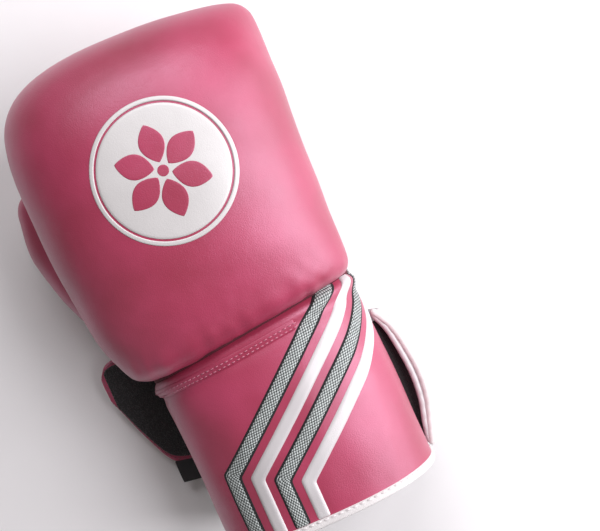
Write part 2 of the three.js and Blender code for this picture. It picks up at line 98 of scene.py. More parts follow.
def power(value, exponent):
    return np.sign(value) * np.abs(value) ** exponent


def smooth(value):
    value = np.clip(value, 0, 1)
    return value * value * (3 - 2 * value)


def ripple(p, scale, seed=0.0):
    """A smooth, seeded, wandering value between about -1 and 1 at each point."""
    out = np.zeros(p.shape[:-1])
    rng = np.random.default_rng(int(seed * 10) + 3)
    for octave in range(5):
        direction = rng.normal(size=3)
        direction /= np.linalg.norm(direction)
        wave = (p @ direction) * (2 * np.pi / scale) * rng.uniform(0.6, 1.7) + rng.uniform(0, 2 * np.pi)
        other = rng.normal(size=3)
        out += np.sin(wave + 1.3 * np.sin((p @ other) * 2.2 / scale + octave))
    return out / 3.5


def normals_of(grid, wrap=False):
    """Unit normals of a grid of points, from its own tangents."""
    if wrap:
        du = np.roll(grid, -1, 0) - np.roll(grid, 1, 0)
    else:
        du = np.gradient(grid, axis=0)
    n = np.cross(du, np.gradient(grid, axis=1))
    return n / np.maximum(np.linalg.norm(n, axis=-1, keepdims=True), 1e-9)


def resample(path, step=None, count=None):
    """Evenly spaced points along a path, and their unit tangents."""
    path = np.asarray(path, float)
    along = np.concatenate([[0], np.cumsum(np.linalg.norm(np.diff(path, axis=0), axis=1))])
    count = count or max(3, int(round(along[-1] / step)) + 1)
    at = np.linspace(0, along[-1], count)
    points = np.stack([np.interp(at, along, path[:, k]) for k in range(path.shape[1])], 1)
    tangents = np.gradient(points, axis=0)
    return points, tangents / np.maximum(np.linalg.norm(tangents, axis=1, keepdims=True), 1e-9)


def spline(points, count):
    """A smooth curve through the points."""
    p = np.asarray(points, float)
    t = np.concatenate([[0], np.cumsum(np.linalg.norm(np.diff(p, axis=0), axis=1) ** 0.5)])
    table = np.column_stack([t, p])
    at = np.linspace(0, t[-1], count * 6)
    m = np.gradient(p, t, axis=0)
    i = np.clip(np.searchsorted(t, at, side="right") - 1, 0, len(t) - 2)
    h = (t[i + 1] - t[i])[:, None]
    s = ((at - t[i]) / (t[i + 1] - t[i]))[:, None]
    a, b = table[i, 1:], table[i + 1, 1:]
    curve = (2 * s**3 - 3 * s**2 + 1) * a + (s**3 - 2 * s**2 + s) * h * m[i]
    curve = curve + (3 * s**2 - 2 * s**3) * b + (s**3 - s**2) * h * m[i + 1]
    return resample(curve, count=count)[0]


# ---- meshes -----------------------------------------------------------------------------------------------
def mesh_object(name, points, faces, material, subdivide=0):
    data = bpy.data.meshes.new(name)
    data.from_pydata((np.asarray(points) / 1000 + ORIGIN).tolist(), [], [list(map(int, f)) for f in faces])
    data.validate()
    data.polygons.foreach_set("use_smooth", [True] * len(data.polygons))
    for m in material if isinstance(material, (list, tuple)) else [material]:
        data.materials.append(m)
    obj = bpy.data.objects.new(name, data)
    bpy.context.scene.collection.objects.link(obj)
    if subdivide:
        modifier(obj, "SUBSURF", levels=subdivide, render_levels=subdivide)
    return obj


def modifier(obj, kind, **settings):
    """Adds a modifier and applies it at once."""
    m = obj.modifiers.new(kind.title(), kind)
    for key, value in settings.items():
        setattr(m, key, value)
    bake_modifiers(obj)


def bake_modifiers(obj):
    bpy.context.view_layer.update()
    graph = bpy.context.evaluated_depsgraph_get()
    data = bpy.data.meshes.new_from_object(obj.evaluated_get(graph), depsgraph=graph)
    old = obj.data
    obj.modifiers.clear()
    obj.data = data
    bpy.data.meshes.remove(old)
    data.polygons.foreach_set("use_smooth", [True] * len(data.polygons))


def points_of(obj):
    p = np.empty(len(obj.data.vertices) * 3)
    obj.data.vertices.foreach_get("co", p)
    return (p.reshape(-1, 3) - ORIGIN) * 1000


def normals_at(obj):
    n = np.empty(len(obj.data.vertices) * 3)
    obj.data.vertex_normals.foreach_get("vector", n)
    return n.reshape(-1, 3)


def set_points(obj, points):
    obj.data.vertices.foreach_set("co", (points / 1000 + ORIGIN).ravel())
    obj.data.update()


def edges_of(obj):
    e = np.empty(len(obj.data.edges) * 2, np.int32)
    obj.data.edges.foreach_get("vertices", e)
    return e.reshape(-1, 2)


def relax(obj, rounds):
    """Smooths with a little push back, so that the body doesn't shrink."""
    p, e = points_of(obj), edges_of(obj)
    count = np.bincount(e.ravel(), minlength=len(p))[:, None]
    for i in range(rounds):
        total = np.zeros_like(p)
        np.add.at(total, e[:, 0], p[e[:, 1]])
        np.add.at(total, e[:, 1], p[e[:, 0]])
        p = p + (0.6 if i % 2 == 0 else -0.53) * (total / count - p)
    set_points(obj, p)


def grid_faces(nu, nv, wrap_u=False, start=0):
    faces = []
    for i in range(nu if wrap_u else nu - 1):
        for j in range(nv - 1):
            a, b = start + i * nv + j, start + ((i + 1) % nu) * nv + j
            faces.append((a, b, b + 1, a + 1))
    return faces


def oriented(points, faces):
    """The faces, turned so that the closed body's volume is positive."""
    p = np.asarray(points)
    volume = 0.0
    for f in faces:
        for k in range(1, len(f) - 1):
            volume += np.dot(p[f[0]], np.cross(p[f[k]], p[f[k + 1]]))
    return faces if volume > 0 else [tuple(reversed(f)) for f in faces]


def loft(name, rings, material, subdivide=0):
    """A closed body through rings of points, with a fan on each end."""
    rings = np.asarray(rings)
    nv, count = rings.shape[:2]
    points = np.vstack([rings.reshape(-1, 3), rings[0].mean(0), rings[-1].mean(0)])
    faces = []
    for i in range(nv - 1):
        for j in range(count):
            a, b = i * count + j, i * count + (j + 1) % count
            faces.append((a, b, b + count, a + count))
    last = (nv - 1) * count
    faces += [((j + 1) % count, j, nv * count) for j in range(count)]
    faces += [(last + j, last + (j + 1) % count, nv * count + 1) for j in range(count)]
    return mesh_object(name, points, oriented(points, faces), material, subdivide)


def pad(name, outer, inner, material, bulge=0.0, subdivide=1, rim=2, pattern=None):
    """A closed, soft-edged body between two grids of the same size. pattern gives the outer one's UVs."""
    nu, nv = outer.shape[:2]
    shares = np.linspace(0, 1, rim + 2)[1:-1]

    def rim_rows(a, b, out):
        return [a + (b - a) * w + out * bulge * math.sin(math.pi * w) for w in shares]

    def outward(border, before):
        d = border - before
        return d / np.maximum(np.linalg.norm(d, axis=-1, keepdims=True), 1e-9)

    far = rim_rows(outer[-1], inner[-1], outward(outer[-1], outer[-2]))
    near = rim_rows(inner[0], outer[0], outward(outer[0], outer[1]))
    loop = np.array([*outer, *far, *inner[::-1], *near])
    size = len(loop)
    points = [loop.reshape(-1, 3)]
    faces = grid_faces(size, nv, wrap_u=True)
    for j, before in ((0, 1), (nv - 1, nv - 2)):
        out = outward(outer[:, j], outer[:, before])
        rows = [outer[:, j], *rim_rows(outer[:, j], inner[:, j], out), inner[:, j]]
        base = sum(len(p) for p in points)
        points.append(np.array(rows[1:-1]).reshape(-1, 3))
        index = [[i * nv + j for i in range(nu)]]
        index += [[base + k * nu + i for i in range(nu)] for k in range(rim)]
        index += [[(nu + rim + nu - 1 - i) * nv + j for i in range(nu)]]
        for k in range(rim + 1):
            for i in range(nu - 1):
                faces.append((index[k][i], index[k][i + 1], index[k + 1][i + 1], index[k + 1][i]))
        for k in range(rim + 1):
            right = [(nu + m) * nv + j for m in range(-1, rim + 1)]
            left = [(m % size) * nv + j for m in range(0, -rim - 2, -1)]
            faces.append((index[k][-1], right[k + 1] if k < rim else index[k + 1][-1], index[k + 1][-1]))
            faces.append((index[k][0], left[k + 1] if k < rim else index[k + 1][0], index[k + 1][0]))
            if k:
                faces.append((index[k][-1], right[k], right[k + 1]))
                faces.append((index[k][0], left[k], left[k + 1]))
    points = np.vstack(points)
    faces = [f for f in faces if len(set(f)) == len(f)]
    obj = mesh_object(name, points, faces, material)
    tidy_normals(obj)
    if pattern is not None:
        lay_pattern(obj, outer, pattern)
    if subdivide:
        modifier(obj, "SUBSURF", levels=subdivide, render_levels=subdivide)
    return obj


def lay_pattern(obj, grid, pattern):
    """Gives each point of a piece the flat pattern's place of the nearest point of a grid, in metres."""
    p, g = points_of(obj), grid.reshape(-1, 3)
    nearest = np.array([np.argmin(((g - q) ** 2).sum(1)) for q in p])
    flat = pattern.reshape(-1, 2)[nearest] / 1000
    layer = obj.data.uv_layers.new(name="pattern")
    corners = np.empty(len(obj.data.loops), np.int32)
    obj.data.loops.foreach_get("vertex_index", corners)
    layer.data.foreach_set("uv", flat[corners].ravel())


def flat_walls(obj, walls):
    """Shades a thin patch's side walls flat, so that its top stays level right up to its edge."""
    for i in walls:
        obj.data.polygons[i].use_smooth = False


def tidy_normals(obj):
    bm = bmesh.new()
    bm.from_mesh(obj.data)
    bmesh.ops.remove_doubles(bm, verts=bm.verts, dist=1e-6)
    bmesh.ops.recalc_face_normals(bm, faces=bm.faces)
    bm.to_mesh(obj.data)
    bm.free()


def tube(name, path, radius, material, normals=None, sides=10):
    """A round cord along a path, its ends closed by small domes."""
    path = np.asarray(path, float)
    tangent = np.gradient(path, axis=0)
    tangent /= np.maximum(np.linalg.norm(tangent, axis=1, keepdims=True), 1e-9)
    up = np.tile([0.0, 0.0, 1.0], (len(path), 1)) if normals is None else np.asarray(normals, float)
    side = np.cross(tangent, up)
    side /= np.maximum(np.linalg.norm(side, axis=1, keepdims=True), 1e-9)
    up = np.cross(side, tangent)
    angle = np.linspace(0, 2 * np.pi, sides, endpoint=False)
    radius = np.broadcast_to(radius, (len(path),))

    def ring(i, share=1.0, ahead=0.0):
        r = radius[i] * share
        around = np.outer(np.cos(angle), side[i]) + np.outer(np.sin(angle), up[i])
        return path[i] + tangent[i] * ahead + around * r

    rings = [ring(i) for i in range(len(path))]
    first, last = 0, len(path) - 1
    start = [ring(first, s, -radius[first] * a) for s, a in ((0.35, 0.92), (0.75, 0.6))]
    end = [ring(last, s, radius[last] * a) for s, a in ((0.75, 0.6), (0.35, 0.92))]
    return loft(name, start + rings + end, material)


# One stitch's rings, from end to end: place along it, width and height over the surface, as shares.
STITCH = [(-0.5, 0.45, -0.9), (-0.3, 1.0, 0.1), (0.0, 1.0, 0.45), (0.3, 1.0, 0.1), (0.5, 0.45, -0.9)]


def stitches(name, rows, material, length=3.0, gap=1.3, radius=0.42, sides=6):
    """Thread stitches along paths that lie on a surface. rows holds (points, normals) pairs."""
    around = np.linspace(0, 2 * np.pi, sides, endpoint=False)
    points, faces = [], []
    for path, normal in rows:
        at, tangent = resample(path, step=length + gap)
        up = resample(normal, count=len(at))[0]
        up /= np.linalg.norm(up, axis=1, keepdims=True)
        side = np.cross(tangent, up)
        for p, t, n, b in zip(at, tangent, up, side):
            base = len(points)
            last = base + sides * (len(STITCH) - 1)
            for along, width, high in STITCH:
                centre = p + t * along * length + n * radius * high
                for a in around:
                    points.append(centre + (b * math.cos(a) + n * math.sin(a)) * radius * width)
            for ring in range(base, last, sides):
                for j in range(sides):
                    a, c = ring + j, ring + (j + 1) % sides
                    faces.append((a, c, c + sides, a + sides))
            faces.append(tuple(base + j for j in reversed(range(sides))))
            faces.append(tuple(last + j for j in range(sides)))
    obj = mesh_object(name, points, faces, material)
    tidy_normals(obj)
    return obj


def surface_of(obj):
    """The piece as something that can be hit by rays, in millimetres."""
    faces = [tuple(f.vertices) for f in obj.data.polygons]
    return BVHTree.FromPolygons([Vector(p) for p in points_of(obj)], faces)


def drop(surface, points, direction, reach=40.0, lift=0.0):
    """Where points land on a surface when pushed along a direction, and the surface's normals there."""
    points = np.asarray(points, float)
    shape = points.shape
    flat = points.reshape(-1, 3)
    way = np.broadcast_to(np.asarray(direction, float), shape).reshape(-1, 3)
    hits, normals = flat.copy(), -way.copy()
    for i, (p, d) in enumerate(zip(flat, way)):
        hit, normal, _, _ = surface.ray_cast(Vector(p - d * reach), Vector(d), reach * 3)
        if hit is not None:
            n = np.array(normal)
            hits[i], normals[i] = np.array(hit), n if np.dot(n, d) < 0 else -n
    return (hits + normals * lift).reshape(shape), normals.reshape(shape)


# ---- materials --------------------------------------------------------------------------------------------
class Paint:
    """A procedural material: a small wrapper round its node tree."""

    def __init__(self, name):
        self.material = bpy.data.materials.new(name)
        self.material.use_nodes = True
        self.tree = self.material.node_tree
        self.shader = self.tree.nodes["Principled BSDF"]
        self.place = self.add("ShaderNodeTexCoord").outputs["Object"]
        self.height = None

    def add(self, kind, **settings):
        node = self.tree.nodes.new(kind)
        for key, value in settings.items():
            setattr(node, key, value)
        return node

    def link(self, output, target):
        self.tree.links.new(output, target)

    def feed(self, value, target):
        """Sets a socket to a number or a colour, or links it to another node's output."""
        if isinstance(value, (int, float)):
            target.default_value = value
        elif isinstance(value, (tuple, list)):
            target.default_value = (*value, 1)
        else:
            self.link(value, target)

    def maths(self, operation, *values):
        node = self.add("ShaderNodeMath", operation=operation)
        for value, target in zip(values, node.inputs):
            self.feed(value, target)
        return node.outputs[0]

    def plus(self, a, b):
        return self.maths("ADD", a, b)

    def minus(self, a, b):
        return self.maths("SUBTRACT", a, b)

    def times(self, a, b):
        return self.maths("MULTIPLY", a, b)

    def wave(self, value, k):
        """The sine of a value times k."""
        return self.maths("SINE", self.times(value, k))

    def spot(self, turn=0.0):
        """The object's x, y and z in metres, turned about Z by so many degrees."""
        node = self.add("ShaderNodeMapping")
        node.inputs["Rotation"].default_value = (0, 0, math.radians(turn))
        self.link(self.place, node.inputs["Vector"])
        split = self.add("ShaderNodeSeparateXYZ")
        self.link(node.outputs[0], split.inputs[0])
        return split.outputs

    def noise(self, scale, detail=2.0, roughness=0.5, distortion=0.0):
        node = self.add("ShaderNodeTexNoise")
        values = dict(Scale=scale, Detail=detail, Roughness=roughness, Distortion=distortion)
        values["Vector"] = self.place
        for key, value in values.items():
            self.feed(value, node.inputs[key])
        return node.outputs[0]

    def cells(self, scale):
        node = self.add("ShaderNodeTexVoronoi")
        self.feed(scale, node.inputs["Scale"])
        self.feed(self.place, node.inputs["Vector"])
        return node.outputs["Distance"]

    def ramp(self, value, *stops):
        node = self.add("ShaderNodeValToRGB")
        elements = node.color_ramp.elements
        while len(elements) < len(stops):
            elements.new(0.5)
        for element, (at, colour) in zip(elements, stops):
            element.position = at
            element.color = (*colour, 1) if isinstance(colour, (tuple, list)) else (colour,) * 3 + (1,)
        self.link(value, node.inputs[0])
        return node.outputs[0]

    def mix(self, share, a, b):
        node = self.add("ShaderNodeMix", data_type="RGBA")
        for k, value in ((0, share), (6, a), (7, b)):
            self.feed(value, node.inputs[k])
        return node.outputs[2]

    def colour(self, value):
        self.link(value, self.shader.inputs["Base Color"])

    def rough(self, value, spread, middle):
        """Roughness that wanders with a value, by spread around middle."""
        self.link(self.plus(self.times(value, spread), middle), self.shader.inputs["Roughness"])

    def bump(self, value, depth, strength=1.0):
        node = self.add("ShaderNodeBump")
        node.inputs["Strength"].default_value = strength
        node.inputs["Distance"].default_value = depth
        self.link(value, node.inputs["Height"])
        if self.height is not None:
            self.link(self.height, node.inputs["Normal"])
        self.height = node.outputs[0]
        self.link(self.height, self.shader.inputs["Normal"])

    def set(self, **values):
        for key, value in values.items():
            self.shader.inputs[key.replace("_", " ")].default_value = value


def leather(name, base, dark, rough=0.36, grain=0.00010, shine=(1.0, 0.75, 1.0)):
    """Coated leather: fine pebbled grain, faint creases, and a colour that wanders a little."""
    m = Paint(name)
    wander = m.ramp(m.noise(22, 3), (0.32, 0.0), (0.72, 1.0))
    pores = m.ramp(m.cells(1500), (0.0, 0.0), (0.55, 1.0))
    colour = m.mix(wander, dark, base)
    m.colour(m.mix(m.times(m.minus(1.0, pores), 0.22), colour, dark))
    m.rough(m.noise(90, 4), 0.16, rough - 0.08)
    m.bump(m.noise(60, 2, 0.5, 0.5), 0.0005, 0.25)
    m.bump(pores, grain, 0.6)
    m.bump(m.noise(420, 5, 0.6, 1.2), 0.00012, 0.45)
    m.set(Coat_Weight=0.6, Coat_Roughness=0.5, Specular_IOR_Level=0.95, Specular_Tint=(*shine, 1))
    return m.material


def woven(name, base, dark, pitch, turn=45.0, rough=0.85, depth=0.0002, sheen=0.15):
    """A plain weave: two sets of threads that cross, with dark between them."""
    m = Paint(name)
    x, y, z = m.spot(turn)
    k = 2 * math.pi / pitch
    over = m.wave(m.plus(x, m.times(z, 0.7)), k)
    under = m.wave(m.minus(y, m.times(z, 0.7)), k)
    over, under = m.maths("ABSOLUTE", over), m.maths("ABSOLUTE", under)
    weave = m.plus(m.times(over, 0.5), m.times(under, 0.5))
    fibre = m.noise(1800, 3)
    tone = m.ramp(m.plus(weave, m.times(fibre, 0.25)), (0.18, dark), (0.62, base))
    m.colour(m.mix(m.ramp(m.noise(30, 2), (0.3, 0.0), (0.9, 0.35)), tone, dark))
    m.rough(fibre, 0.15, rough - 0.08)
    m.bump(weave, depth, 0.8)
    m.bump(fibre, depth * 0.4, 0.5)
    m.set(Sheen_Weight=sheen, Sheen_Roughness=0.5)
    return m.material


def open_mesh(name, thread, hole, pitch, turn, share=0.42):
    """A knitted mesh with a regular field of round holes between raised threads."""
    m = Paint(name)
    x, y, z = m.spot(turn)
    k = math.pi / pitch
    a = m.wave(m.plus(x, m.times(z, 0.6)), k)
    b = m.wave(m.plus(y, m.times(z, 0.6)), k * 1.25)
    field = m.maths("ABSOLUTE", m.times(a, b))
    uneven = m.plus(field, m.times(m.minus(m.noise(900, 2), 0.5), 0.35))
    lit = m.ramp(m.noise(650, 3), (0.25, tuple(0.72 * c for c in thread)), (0.75, thread))
    m.colour(m.mix(m.ramp(uneven, (share, 0.0), (share + 0.22, 1.0)), lit, hole))
    m.rough(m.noise(300, 2), 0.2, 0.62)
    m.bump(m.minus(1.0, uneven), 0.00045, 0.9)
    m.bump(m.noise(2200, 2), 0.0001, 0.5)
    m.set(Sheen_Weight=0.1, Sheen_Roughness=0.5)
    return m.material


def stripe_weave(name, thread, gap, pitch):
    """The printed stripes: small pale diamonds of thread with dark gaps, laid along the stripe."""
    m = Paint(name)
    split = m.add("ShaderNodeSeparateXYZ")
    m.link(m.add("ShaderNodeTexCoord").outputs["UV"], split.inputs[0])
    u, v = split.outputs[0], split.outputs[1]
    k = math.pi / pitch
    a = m.wave(m.plus(u, m.times(v, 0.72)), k)
    b = m.wave(m.minus(u, m.times(v, 0.72)), k)
    diamonds = m.maths("ABSOLUTE", m.times(a, b))
    field = m.plus(diamonds, m.times(m.noise(1500, 2), 0.25))
    lit = m.ramp(m.noise(500, 3), (0.3, tuple(0.62 * c for c in thread)), (0.7, thread))
    m.colour(m.mix(m.ramp(field, (0.34, 0.0), (0.52, 1.0)), gap, lit))
    m.rough(m.noise(300, 2), 0.2, 0.6)
    m.bump(field, 0.0004, 0.9)
    m.set(Sheen_Weight=0.1, Sheen_Roughness=0.5)
    return m.material


def pile(name, base, tip, scale, rough=0.95, depth=0.0007, sheen=0.35):
    """Hooks, loops or brushed cloth: a dense field of short ends."""
    m = Paint(name)
    ends = m.ramp(m.cells(scale), (0.05, 1.0), (0.5, 0.0))
    tangle = m.noise(scale * 0.6, 4, 0.7, 1.5)
    m.colour(m.mix(m.times(ends, tangle), base, tip))
    m.rough(tangle, 0.1, rough - 0.1)
    m.bump(m.plus(ends, tangle), depth, 0.8)
    m.set(Sheen_Weight=sheen, Sheen_Roughness=0.6)
    return m.material


def moulded(name, base, dark, rough=0.5, scale=300, depth=0.0001, subsurface=0.0):
    m = Paint(name)
    speck = m.noise(scale, 4)
    m.colour(m.mix(m.ramp(speck, (0.35, 0.0), (0.7, 1.0)), dark, base))
    m.rough(m.noise(60, 3), 0.2, rough - 0.1)
    m.bump(m.cells(scale * 3), depth, 0.5)
    m.set(Subsurface_Weight=subsurface)
    return m.material


PINK = leather("pink_leather", (0.43, 0.040, 0.102), (0.32, 0.026, 0.060), 0.42)
PINK_LINE = leather("pink_leather_edge", (0.38, 0.045, 0.10), (0.28, 0.03, 0.065), 0.42)
WHITE = leather("white_leather", (0.66, 0.645, 0.65), (0.56, 0.54, 0.545), 0.42, shine=(1, 1, 1))
BADGE = leather("badge_white", (0.64, 0.63, 0.62), (0.57, 0.56, 0.55), 0.40, 0.00005, (1, 1, 1))
TAPE = woven("white_tape", (0.82, 0.80, 0.79), (0.48, 0.46, 0.45), 0.0011, 45)


def thread(name, base, dark, pitch=0.0005, rough=0.6, depth=0.00008, sheen=0.15):
    return woven(name, base, dark, pitch, 30, rough, depth, sheen)


THREAD = thread("stitch_thread", (0.56, 0.20, 0.28), (0.34, 0.09, 0.14))
DEEP_THREAD = thread("deep_thread", (0.34, 0.10, 0.15), (0.20, 0.05, 0.08))
# Near-black thread for the cord in the crease: painted shade where the crease's shadow falls.
CREASE_SHADE_THREAD = thread("crease_shade_thread", (0.10, 0.012, 0.024), (0.04, 0.005, 0.010), 0.0012, 0.85, 0.0001, 0.0)
PALE_THREAD = thread("pale_thread", (0.84, 0.80, 0.80), (0.55, 0.50, 0.50))
PALM_MESH = open_mesh("palm_mesh", (0.68, 0.70, 0.70), (0.16, 0.19, 0.19), 0.0021, 8)
GREY_MESH = stripe_weave("grey_mesh", (0.60, 0.66, 0.64), (0.025, 0.034, 0.033), 0.00165)
MESH_EDGE = pile("mesh_edge", (0.009, 0.009, 0.010), (0.045, 0.045, 0.05), 1500, depth=0.0003, sheen=0.03)
HOOKS = pile("hook_pile", (0.006, 0.006, 0.0065), (0.035, 0.035, 0.04), 1100)
LOOPS = pile("loop_pile", (0.008, 0.008, 0.009), (0.06, 0.06, 0.065), 500, depth=0.0012)
WEBBING = woven("black_webbing", (0.03, 0.03, 0.032), (0.004, 0.004, 0.005), 0.0014, 0, 0.75, 0.0003)
ELASTIC = woven("black_elastic", (0.025, 0.018, 0.02), (0.004, 0.003, 0.004), 0.0022, 0, 0.8, 0.0005)
LINING = pile("lining_cloth", (0.014, 0.014, 0.016), (0.07, 0.07, 0.075), 700, depth=0.0004)
FOAM = moulded("foam", (0.80, 0.72, 0.55), (0.66, 0.57, 0.41), 0.9, 700, 0.0003)
GEL = moulded("gel", (0.20, 0.42, 0.66), (0.12, 0.30, 0.52), 0.2, 120, 0.00005, 0.3)
PLASTIC = moulded("plastic", (0.68, 0.68, 0.64), (0.58, 0.58, 0.54), 0.5, 400, 0.00005)
FLOOR = moulded("floor", (0.86, 0.86, 0.86), (0.83, 0.83, 0.83), 0.7, 12, 0.00002)


def settle(obj, body, nodes=()):
    """Hides the CAD nodes a finished piece stands for, and hangs it on the body it rides on."""
    if nodes:
        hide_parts(*nodes)
    if body:
        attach(obj, body)
    return obj


# ---- surfaces of the glove --------------------------------------------------------------------------------
def section(a, left, right, top, bottom, middle, low_left=None, exponent=2.4):
    """x and z of a rounded section at angle a: 0 is the little finger's side, and a quarter turn is up."""
    c, s = np.cos(a), np.sin(a)
    centre = (left + right) / 2
    low_left = left if low_left is None else low_left
    drawn = np.where(s < 0, 1 - (1 + np.minimum(s, 0)) ** 3, 0)
    half = np.where(c > 0, right - centre, centre - (left + (low_left - left) * drawn))
    x = centre + power(c, 2 / exponent) * half
    z = middle + power(s, 2 / exponent) * np.where(s > 0, top - middle, middle - bottom)
    return x, z


def fist_ring(y, a, wide_left=1.0, wide_right=1.0, high=1.0, inset=0.0, left_extra=0.0):
    left, right, top, bottom, low = (float(station(FIST, y, k)) for k in range(1, 6))
    top = FIST_MIDDLE + (top - inset - FIST_MIDDLE) * high
    bottom = FIST_MIDDLE - (FIST_MIDDLE - bottom - inset) * high
    left, low = (left + inset + left_extra) * wide_left, (low + inset + left_extra) * wide_left
    x, z = section(a, left, (right - inset) * wide_right, top, bottom, FIST_MIDDLE, low, 2.45)
    slant = SHEAR - 0.13 * smooth((y - 10) / 130)
    bulge = 6.0 * smooth((y - 60) / 86) * (1 - (x / 84) ** 2)
    return np.stack([x, y + slant * x + bulge, z], 1)


def fist_rings(count=144):
    a = np.linspace(0, 2 * np.pi, count, endpoint=False)
    rings = []
    edge = 9.0  # radius of the fist's rear edge
    for u in np.linspace(0, 1, 9)[1:]:
        y = WRIST + edge * (1 - math.cos(u * math.pi / 2))
        inset = edge * (1 - math.sin(u * math.pi / 2))
        rings.append(fist_ring(y, a, inset=inset, left_extra=1.5 * inset))
    rings += [fist_ring(y, a) for y in np.linspace(WRIST + edge + 2, CAP, 50)]
    for u in np.linspace(0, 1, 26)[1:]:
        t = min(0.998, math.sin(u * math.pi / 2))
        y = CAP + (FRONT - CAP) * t
        left, right, high = ((1 - t**p) ** (1 / p) for p in (3.3, 12.0, 2.2))
        rings.append(fist_ring(y, a, left, right * (1 + 0.025 * t), high))
    return rings


def roll_rings(count=96):
    """The finger roll: a rounded lobe that ends in front of the palm."""
    a = np.linspace(0, 2 * np.pi, count, endpoint=False)
    rings = []
    for u in np.linspace(-1, 1, 44):
        t = math.sin(u * math.pi / 2) * 0.998
        power_of = 4.2 if t < 0 else 2.5
        share = (1 - abs(t) ** power_of) ** (1 / power_of)
        y = 68 + (53 if t < 0 else 52) * t
        x, z = section(a, 15 - 58 * share, 15 + 58 * share, 40 + 42 * share, 40 - 42.5 * share, 40.0)
        rings.append(np.stack([x, y + SHEAR * x, z], 1))
    return rings


def cuff_surface(a, y, out=0.0):
    """Points on the cuff at angles a and places y, two arrays of one shape, out millimetres proud of it."""
    left, right, top, bottom = (station(CUFF, y, k) for k in range(1, 5))
    x, z = section(a, left - out, right + out, top + out, bottom - out, CUFF_MIDDLE)
    crease = y - SHEAR * x - WRIST

    def band(height, place, width):
        return height * np.exp(-(((crease - place) / width) ** 2))

    puff = 1.1 * np.sin(np.pi * np.clip((y - MOUTH) / 105.0, 0, 1)) * smooth(np.sin(a) * 1.5)
    folds = (band(1.6, -4.5, 3.2) - band(0.9, -11, 3.0) - band(3.2, 1.5, 2.8)) * smooth((z - 40) / 10)
    point = np.stack([x, y, z], -1)
    middle = np.stack([np.full_like(x, CUFF_CENTRE), y, np.full_like(x, CUFF_MIDDLE)], -1)
    radial = (point - middle) / np.maximum(np.linalg.norm(point - middle, axis=-1, keepdims=True), 1e-9)
    dents = 0.35 * ripple(point, 46, 2)
    return point + radial * (puff + folds + dents)[..., None]


def hand_surface(a, y, out=0.0):
    left, right, top, bottom = (station(HAND, y, k) for k in range(1, 5))
    middle = (top + bottom) / 2
    x, z = section(a, left - out, right + out, top + out, bottom - out, middle)
    return np.stack([x, y, z], -1)


def angle_grid(surface, y, low, high, count):
    """A grid of angles between two limits, each an array along y, evenly spaced along the surface."""
    rows = []
    for place, start, end in zip(y, low, high):
        a = np.linspace(start, end, 181)
        p = surface(a, np.full_like(a, place))
        along = np.concatenate([[0], np.cumsum(np.linalg.norm(np.diff(p, axis=0), axis=1))])
        rows.append(np.interp(np.linspace(0, along[-1], count), along, a))
    return np.array(rows).T


# ---- the fist ---------------------------------------------------------------------------------------------
def make_fist():
    fist = loft("fist_leather", fist_rings(), PINK)
    roll = loft("roll", roll_rings(), PINK)
    with bpy.context.temp_override(active_object=fist, selected_editable_objects=[fist, roll]):
        bpy.ops.object.join()
    modifier(fist, "REMESH", mode="VOXEL", voxel_size=0.0034)
    relax(fist, 14)
    inflate(fist)
    modifier(fist, "SUBSURF", levels=1, render_levels=1)
    p = points_of(fist)
    n = normals_at(fist)
    y = p[:, 1] - SHEAR * p[:, 0]
    near_crease = np.exp(-((y - WRIST) / 15.0) ** 2) * smooth((p[:, 2] - 40) / 20)
    pucker = np.sin(p[:, 0] * 0.42 + 2.2 * np.sin(p[:, 0] * 0.11)) * ripple(p, 30, 5)
    p = p + n * (0.32 * ripple(p, 55, 1) + 0.5 * near_crease * pucker)[:, None]
    p[:, 2] = 0.1 + 0.9 * np.logaddexp(0, (p[:, 2] - 0.4) / 0.9)
    set_points(fist, p)
    return fist


def inflate(obj, pressure=4.0, cap=3.0, frames=14, hold=None):
    """Puffs a piece up with a short cloth simulation. hold keeps points where they are, from 0 to 1 each."""
    before = points_of(obj)
    group = obj.vertex_groups.new(name="held")
    keep = hold_points(before) if hold is None else hold(before)
    for weight in (0.25, 0.5, 0.75, 1.0):
        index = np.nonzero(np.abs(keep - weight) < 0.126)[0]
        group.add([int(i) for i in index], weight, "REPLACE")
    cloth = obj.modifiers.new("Cloth", "CLOTH")
    cloth.settings.quality = 5
    cloth.settings.mass = 0.3
    cloth.settings.tension_stiffness = cloth.settings.compression_stiffness = 25
    cloth.settings.bending_stiffness = 4
    cloth.settings.use_pressure = True
    cloth.settings.uniform_pressure_force = pressure
    cloth.settings.vertex_group_mass = "held"
    cloth.settings.pin_stiffness = 1.0
    cloth.settings.effector_weights.gravity = 0
    cloth.collision_settings.use_collision = False
    cloth.collision_settings.use_self_collision = False
    cloth.point_cache.frame_start, cloth.point_cache.frame_end = 1, frames
    scene = bpy.context.scene
    for number in range(1, frames + 1):
        scene.frame_set(number)
    graph = bpy.context.evaluated_depsgraph_get()
    data = bpy.data.meshes.new_from_object(obj.evaluated_get(graph), depsgraph=graph)
    after = np.empty(len(data.vertices) * 3)
    data.vertices.foreach_get("co", after)
    after = (after.reshape(-1, 3) - ORIGIN) * 1000
    bpy.data.meshes.remove(data)
    obj.modifiers.clear()
    obj.vertex_groups.clear()
    scene.frame_set(1)
    move = after - before
    size = np.linalg.norm(move, axis=1, keepdims=True)
    set_points(obj, before + move * np.minimum(1, cap / np.maximum(size, 1e-9)))
    relax(obj, 4)


def hold_points(p):
    """Where the fist's leather is sewn down: at the crease, and round the palm."""
    y = p[:, 1] - SHEAR * p[:, 0]
    crease = smooth((WRIST + 10 - y) / 8)
    palm = smooth((26 - y) / 12) * smooth((46 - p[:, 2]) / 10)
    return np.round(np.clip(np.maximum(crease, palm), 0, 1) * 4) / 4


